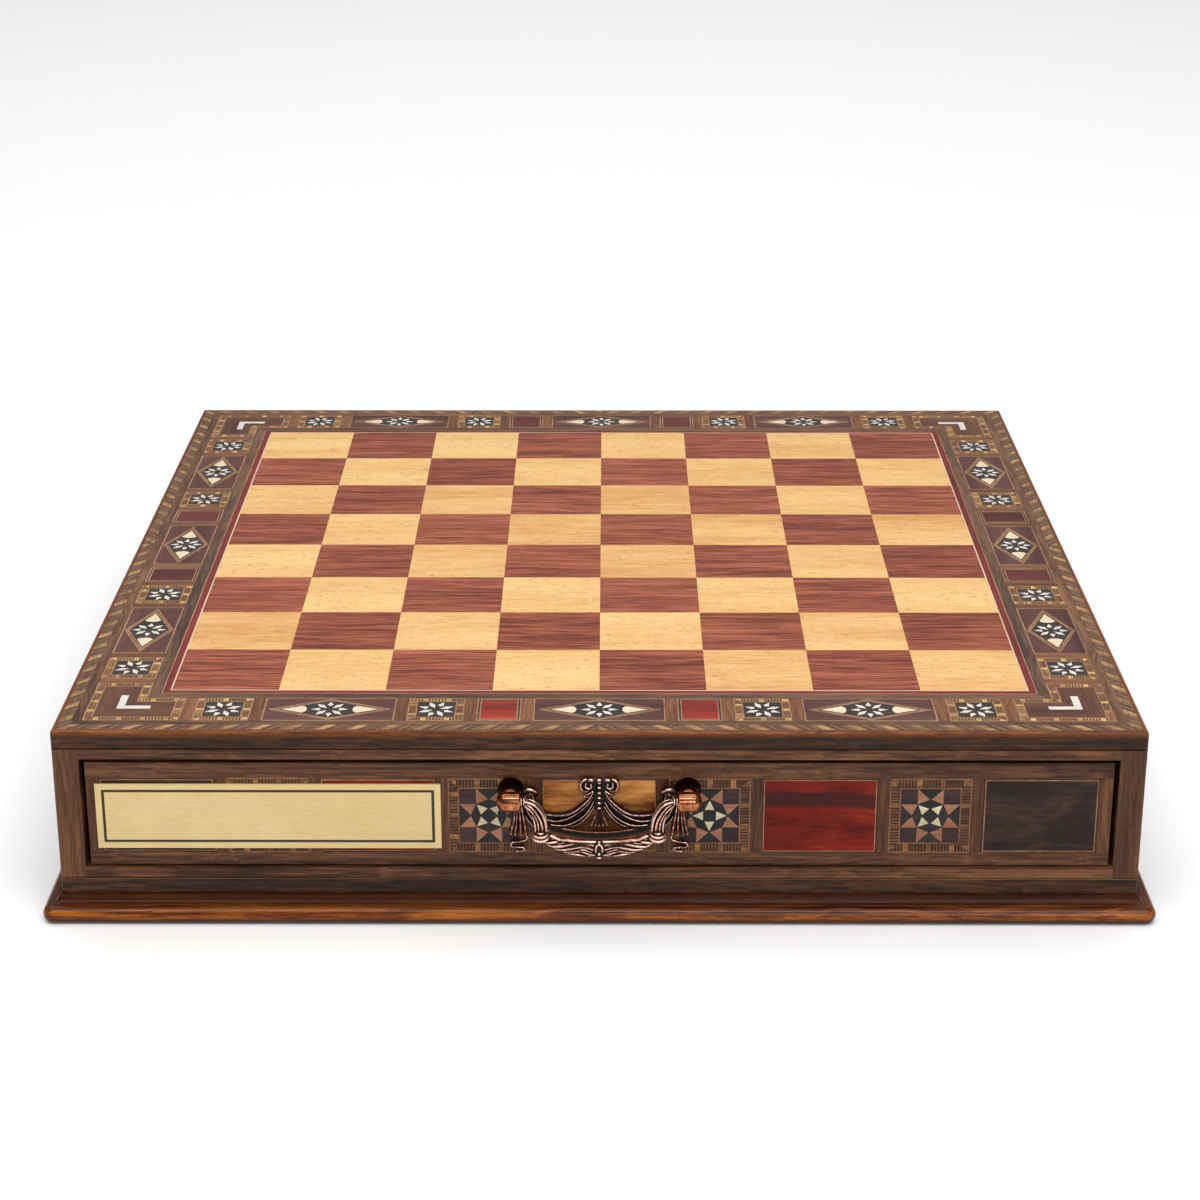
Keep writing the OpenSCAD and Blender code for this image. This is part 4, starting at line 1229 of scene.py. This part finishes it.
LEAF_STRANDS = [
    ([(21.0, -14.3), (18.2, -13.7), (14.4, -15.1), (11.4, -15.4), (7.7, -15.9), (3.6, -16.2),
      (1.4, -16.4)], (0.45, 0.65, 0.75, 0.6, 0.5)),
    ([(20.5, -16.2), (18.4, -16.4), (16.0, -16.1), (13.7, -15.4)], (0.3, 0.6, 0.55, 0.4)),
    ([(18.6, -17.6), (16.5, -18.1), (13.7, -17.8), (10.9, -17.0), (8.2, -16.6), (4.4, -17.0),
      (2.1, -17.7)], (0.3, 0.6, 0.62, 0.45)),
    ([(15.8, -19.2), (12.8, -19.4), (10.0, -18.7), (7.2, -18.1), (4.9, -18.4), (2.3, -19.5)],
     (0.3, 0.58, 0.6, 0.42)),
    ([(12.8, -20.5), (10.5, -20.2), (7.7, -19.7), (5.4, -20.2), (3.5, -21.2), (1.6, -21.7)],
     (0.28, 0.52, 0.5, 0.38)),
    ([(11.4, -21.1), (9.1, -21.1), (7.2, -21.4), (5.4, -22.0)], (0.25, 0.42, 0.3)),
]
LEAF_VEINS = [
    [(17.4, -14.8), (14.2, -14.9), (11.0, -15.5), (7.4, -15.8), (4.0, -15.9)],
    [(15.6, -16.6), (12.6, -16.0), (9.6, -15.9), (6.0, -16.1), (2.8, -16.7)],
    [(14.6, -18.1), (11.6, -17.5), (8.6, -17.0), (5.6, -17.2), (3.2, -18.0)],
    [(12.0, -19.5), (9.4, -18.9), (6.6, -18.7), (4.4, -19.2), (2.8, -20.1)],
]
GRIP_OVER = [(21.2, -13.6), (18.4, -13.4), (14.4, -14.8), (11.4, -15.1), (7.7, -15.6), (0.0, -15.9)]
GRIP_UNDER = [(-20.8, -15.8), (-18.4, -17.3), (-15.8, -18.9), (-12.6, -20.1), (-9.2, -21.0),
              (-5.0, -21.9), (0.0, -22.2)]
ARM_FLUTES = [
    ([(27.4, 0.5), (25.1, -0.1), (23.1, -1.1), (21.3, -3.4), (20.0, -6.2), (19.4, -9.1),
      (19.3, -11.9)], 0.48),
    ([(27.0, -0.1), (24.4, -1.9), (22.2, -5.2), (21.0, -8.3), (20.6, -11.8)], 0.5),
    ([(27.0, -1.1), (24.7, -3.1), (23.0, -5.8), (22.2, -8.8), (22.0, -11.8)], 0.5),
    ([(24.6, -3.8), (23.7, -6.6), (23.2, -9.4), (23.2, -11.8)], 0.42),
]
TAIL_STRANDS = ((32.5, -16.9), (31.0, -17.1), (29.0, -17.1), (27.0, -16.9))
TAIL_SCROLL = [(27.2, -17.4), (26.6, -19.1), (27.6, -20.1), (29.5, -20.6), (32.0, -21.0), (32.5, -21.9),
               (31.8, -22.7), (28.4, -23.0), (27.7, -23.6), (28.2, -24.3), (30.4, -24.8)]


def mirrored(half):
    """A path that ends on the middle line, and its mirror image after it."""
    return [*half, *[(-x, *others) for x, *others in reversed(half[:-1])]]


def lift(points, w, rise=0.0):
    """Flat points raised to w, highest in the middle of the path."""
    last = len(points) - 1
    return [(x, u, w + rise * math.sin(math.pi * i / last)) for i, (x, u) in enumerate(points)]


def cast_plate():
    """Volutes, bead column, fluted swag, tassels, lower bar and the scrolls at the posts."""
    c = Casting()
    c.rod([(0, 4.4, 1.2), (0, 0, 1.2), (0, -7.8, 1.1)], (0.95, 1.1, 0.9), (0.9, 1.0, 0.8))
    c.bead(0, 4.6, 2.1, 1.0, 0.7, 0.8)
    for u in (3.5, 1.5, -0.6, -2.6, -4.7, -6.8):
        c.bead(0, u, 2.0, 0.85, 0.5, 0.62)
    for x, u in ((0.0, -13.9), (1.4, -13.7), (2.7, -13.6)):
        for side in (-1, 1) if x else (1,):
            fall = [(side * x * 0.2, -7.8, 1.2), (side * x * 0.6, -10.8, 1.4), (side * x, u, 1.3)]
            c.rod(fall, (0.3, 0.42, 0.58), (0.5, 0.7, 0.8))
    c.slab([(-2.6, -13.6), (2.6, -13.6), (0.7, -7.2), (-0.7, -7.2)], 0.0, 0.9)
    bar = mirrored([(-19.6, -14.8), (-11, -17.0), (-4.5, -17.9), (0, -18.0)])
    c.rod(lift(bar, 0.6, 0.1), (0.85, 1.15, 1.2, 1.15, 0.85), (0.6, 0.7, 0.7, 0.7, 0.6))
    c.rod(lift([(x, u + 0.85) for x, u in bar], 0.9, 0.1), (0.4, 0.45, 0.45, 0.4), (0.5, 0.6, 0.6, 0.5))
    c.rod(lift([(x, u - 0.95) for x, u in bar], 0.7, 0.1), (0.35, 0.4, 0.4, 0.35), (0.5, 0.55, 0.55, 0.5))
    start = c.mark()
    # Volute: a bead, an outer and an inner curl, and two folds below
    c.bead(3.2, 4.5, 1.9, 1.3, 0.8, 0.9)
    outer = [(3.9, 4.7), (5.4, 4.6), (6.6, 3.6), (6.8, 2.1), (6.2, 0.6), (4.9, 0.0), (3.8, 0.4)]
    c.rod(lift(outer, 1.4, 0.5), (0.6, 0.75, 0.75, 0.55), (0.9, 1.1, 1.1, 0.8))
    inner = [(4.9, 3.0), (5.0, 1.9), (4.0, 1.2), (3.0, 1.6), (3.1, 2.6)]
    c.rod(lift(inner, 1.4, 0.3), (0.45, 0.55, 0.5), (0.9, 1.0, 0.8))
    c.rod(lift([(5.9, -0.8), (4.4, -1.3), (2.4, -0.3)], 1.3), (0.4, 0.5, 0.4), (0.8, 0.9, 0.7))
    c.rod(lift([(5.5, -2.1), (4.1, -2.4), (2.2, -1.2)], 1.2), (0.35, 0.48, 0.4), (0.7, 0.9, 0.7))
    back = [(0.6, 4.2), (3.2, 5.0), (6.2, 4.2), (7.0, 2.0), (6.2, -0.6), (5.6, -2.4), (3.4, -3.0),
            (0.6, -2.0)]
    c.slab(back, 0.0, 0.9)
    for points, widths in SWAG_FLUTES:
        c.rod(lift(points, 1.0, 0.35), widths, [r * 1.2 for r in widths], steps=5)
        crest = [(x, u + 0.15) for x, u in points]
        c.rod(lift(crest, 1.0 + min(widths[1], 0.8), 0.5), [r * 0.38 for r in widths], steps=5)
    c.slab(SWAG_BACK, 0.0, 0.8)
    c.slab(WING_BACK, 0.0, 0.9)
    # The ear beside the post
    ear = [(22.9, -1.0), (23.2, 0.4), (24.4, 1.4), (25.9, 1.7), (27.3, 0.9), (27.9, -0.6)]
    c.rod(lift(ear, 1.8, 1.6), (0.7, 1.05, 1.15, 0.7), (1.2, 1.6, 1.7, 1.2))
    c.rod(lift([(x, u + 0.25) for x, u in ear], 3.0, 1.9), (0.4, 0.62, 0.66, 0.4))
    c.bead(25.3, -0.3, 2.6, 2.3, 1.5, 2.1)
    # The tail under the post, its beads and its open scroll
    for x, u in TAIL_STRANDS:
        fall = [(30 + (x - 30) * 0.25, -2.0, 1.3), (29.7 + (x - 30) * 0.6, -10.5, 1.5), (x, u, 1.4)]
        c.rod(fall, (0.4, 0.48, 0.66), (0.8, 1.0, 0.9))
        c.bead(x, u - 0.5, 1.7, 0.5, 0.45, 0.5)
    c.slab([(28.8, -2.0), (31.4, -2.0), (32.9, -16.6), (26.9, -16.6)], 0.0, 1.0)
    c.rod(lift(TAIL_SCROLL, 1.0, 0.3), (0.42, 0.46, 0.4), (0.9, 0.9, 0.8))
    c.mirror(start)
    return c.melt("handle_casting", PLATE_GRAIN, front_handle)


def cast_bail():
    """Fluted arms, ringed collars and a grip of leaf strands about a bud."""
    c = Casting()
    mid = PIVOT_OUT
    c.slab([*mirrored(GRIP_OVER), *mirrored(GRIP_UNDER)], mid - 1.0, mid + 0.4)
    c.bead(0, -19.0, mid + 0.3, 1.9, 3.4, 1.1)
    bud = [(-1.2, -19.6, mid + 1.2), (-1.0, -17.4, mid + 1.6), (0, -16.4, mid + 1.7)]
    c.rod(mirrored(bud), (0.35, 0.5, 0.35))
    c.bead(0, -20.4, mid + 1.4, 0.6, 0.6, 0.6)
    c.bead(0, -22.1, mid + 0.8, 1.1, 0.45, 0.7)
    start = c.mark()
    # The pin, its two rings and the arm
    c.rod([(SOCKET_X + 2.2, 0, mid), (28.0, 0, mid)], (1.15, 1.15))
    c.rod([(28.4, 0, mid), (26.6, 0, mid)], (1.1, 1.1))
    for x in (28.35, 27.35):
        c.disc(x, 0, mid, 1.6, 0.55, (1, 0, 0))
    core = [(27.4, -0.3), (25.3, -1.2), (23.6, -2.8), (22.3, -5.3), (21.5, -8.2), (21.3, -11.8)]
    c.rod(lift(core, mid - 0.2), (0.8, 1.2, 1.7, 1.9, 1.9), (1.0, 1.2, 1.4, 1.5, 1.5))
    for points, r in ARM_FLUTES:
        c.rod(lift(points, mid + 1.0, 0.3), (r * 0.8, r, r * 1.05, r), (r, r * 1.3, r * 1.3, r))
        c.rod(lift(points, mid - 1.3, -0.3), (r * 0.8, r, r, r))
    # The collar and its two tilted rings
    collar_x = 21.4
    c.disc(collar_x, -13.0, mid, 2.3, 2.6)
    for u, radius, tilt, thick in ((-12.2, 2.9, 0.9, 0.42), (-13.3, 3.15, 1.3, 0.5)):
        turns = [math.radians(30 * i) for i in range(14)]
        places = [(radius * math.cos(a), radius * math.sin(a), tilt * math.sin(a)) for a in turns]
        c.rod([(collar_x + x, u - fall, mid + w) for x, w, fall in places], (thick, thick), steps=4)
    # The grip
    c.rod(lift([(21.3, -13.8), (20.4, -14.8), (18.6, -15.2)], mid), (1.5, 1.4, 1.2), (1.3, 1.2, 1.0))
    for points, widths in LEAF_STRANDS:
        raised = lift([(x, u + 0.5) for x, u in points], mid + 0.45, 0.7)
        c.rod(raised, widths, [r * 1.25 for r in widths], sides=10, steps=5)
        c.rod(lift(points, mid - 1.0, -0.35), widths, widths, sides=8, steps=4)
    for points in LEAF_VEINS:
        c.rod(lift(points, mid + 0.75, 0.6), (0.2, 0.3, 0.3, 0.2), sides=8, steps=4)
    c.mirror(start)
    return c.melt("bail_casting", BAIL_GRAIN, front_handle)


def lathe(profile, middle, axis, sides=48):
    """A turned solid. Profile is (distance along the axis, radius), starting and ending at radius 0."""
    mesh = bmesh.new()
    axis = Vector(axis)
    side = axis.orthogonal().normalized()
    other = axis.cross(side)
    rings = []
    for along, radius in profile:
        centre = Vector(middle) + axis * along
        if radius < 1e-6:
            rings.append([mesh.verts.new(centre * MM)])
        else:
            turns = [2 * math.pi * s / sides for s in range(sides)]
            spokes = [(side * math.cos(angle) + other * math.sin(angle)) * radius for angle in turns]
            rings.append([mesh.verts.new((centre + spoke) * MM) for spoke in spokes])
    for first, second in zip(rings, rings[1:]):
        for s in range(sides):
            n = (s + 1) % sides
            corners = [(first, s), (first, n), (second, n), (second, s)]
            corners = [ring[i % len(ring)] for ring, i in corners]
            mesh.faces.new(list(dict.fromkeys(corners)))  # where a ring is a point, two corners are one
    bmesh.ops.recalc_face_normals(mesh, faces=mesh.faces)
    for face in mesh.faces:
        face.smooth = True
    return mesh


def dome(length, radius, steps=8):
    """The profile of a slightly flattened dome that starts at a length along the axis."""
    turns = [math.pi / 2 * i / steps for i in range(steps + 1)]
    return [(length + radius * 0.9 * math.sin(a), radius * math.cos(a)) for a in turns]


def turn_posts():
    """Posts standing out from the drawer front, each with a domed socket for the bail's pin."""
    whole = bpy.data.meshes.new("handle_posts")
    joined = bmesh.new()
    for side in (-1, 1):
        post = [(0.3, 0), (0.3, 4.9), (1.0, 4.9), (1.6, 4.5), (7.0, 4.3), (9.6, 3.8), (10.4, 3.1), (10.4, 0)]
        socket = [(3.6, 0), (3.6, 1.32), (-0.2, 1.32), (-0.2, 3.4), (0.2, 3.75), *dome(5.1, 3.8)]
        for mesh in (
            lathe(post, front_handle(side * POST_X, 0, 0), (0, -1, 0)),
            lathe(socket, front_handle(side * SOCKET_X, 0, PIVOT_OUT), (side, 0, 0)),
        ):
            part = bpy.data.meshes.new("part")
            mesh.to_mesh(part)
            mesh.free()
            joined.from_mesh(part)
    joined.to_mesh(whole)
    joined.free()
    whole.set_sharp_from_angle(angle=math.radians(40))
    return whole


def make_handles():
    """The same castings at both ends; the rear ones are turned half round."""
    made = {
        "handle_plate": [(cast_plate(), "copper"), (turn_posts(), "polished_copper")],
        "bail": [(cast_bail(), "copper")],
    }
    for node, meshes in made.items():
        for mesh, finish in meshes:
            give(mesh, [finish])
            for end in ENDS:
                own = mesh if end == "front" else mesh.copy()
                if end == "rear":
                    for v in own.vertices:
                        v.co.x, v.co.y = -v.co.x, -v.co.y
                    own.update()
                body = f"{end}_bail" if node == "bail" else f"{end}_drawer"
                join_box(f"{end}_{mesh.name}", own, body, f"{end}_{node}")


# Room -----------------------------------------------------------------------


FLOOR_HALF = 6.0  # metres, as everything in the room


def make_floor():
    mesh = mesh_from("floor", [(x, y, 0) for x, y in square(0, 0, FLOOR_HALF)], [(0, 1, 2, 3)])
    f = Finish("floor")
    mottle = f.noise(f.vector(*f.position()), 0.02, 2.0)
    white = f.blend(mottle, (0.96, 0.96, 0.96, 1), (0.98, 0.98, 0.98, 1))
    mesh.materials.append(f.surface(base_color=white, roughness=0.9))
    floor = add_object("floor", mesh)


def add_light(name, place, target, size, power):
    data = bpy.data.lights.new(name, "AREA")
    data.shape, data.size, data.size_y, data.energy = "RECTANGLE", size[0], size[1], power
    light = add_object(name, data)
    light.location = place
    light.rotation_euler = (Vector(target) - Vector(place)).to_track_quat("-Z", "Y").to_euler()


def make_room():
    scene = bpy.context.scene
    scene.view_settings.view_transform = "Standard"
    world = bpy.data.worlds.new("studio")
    world.use_nodes = True
    background = world.node_tree.nodes["Background"]
    background.inputs["Color"].default_value = (1, 1, 1, 1)
    background.inputs["Strength"].default_value = 0.25
    scene.world = world
    add_light("overhead", (0.0, 0.9, 2.2), (0.0, 0.9, 0.0), (3.4, 5.0), 72)
    add_light("front", (0.5, -1.8, 0.9), (0, -0.2, 0.04), (1.2, 0.7), 9.5)
    add_light("strip", (0.0, -0.9, 1.5), (0, -0.2, 0.04), (2.0, 0.1), 10)


def make_camera():
    data = bpy.data.cameras.new("camera")
    data.lens, data.sensor_width = 80.4, 36.0
    camera = add_object("camera", data)
    camera.location = (0.0026, -1.0919, 0.4699)
    camera.rotation_euler = (math.radians(68.97), 0.0, 0.0026)
    bpy.context.scene.camera = camera


finish_parts()
make_rope()
make_star_mosaics()
make_corner_mosaics()
make_diamond_bands()
make_front_mosaics("front_mosaic_inlay", on_front, "front_drawer", "front_star_mosaics", 14)
make_front_mosaics("rear_mosaic_inlay", on_rear, "rear_drawer", "rear_star_mosaics", 15)
make_base()
make_handles()
make_floor()
make_room()
make_camera()
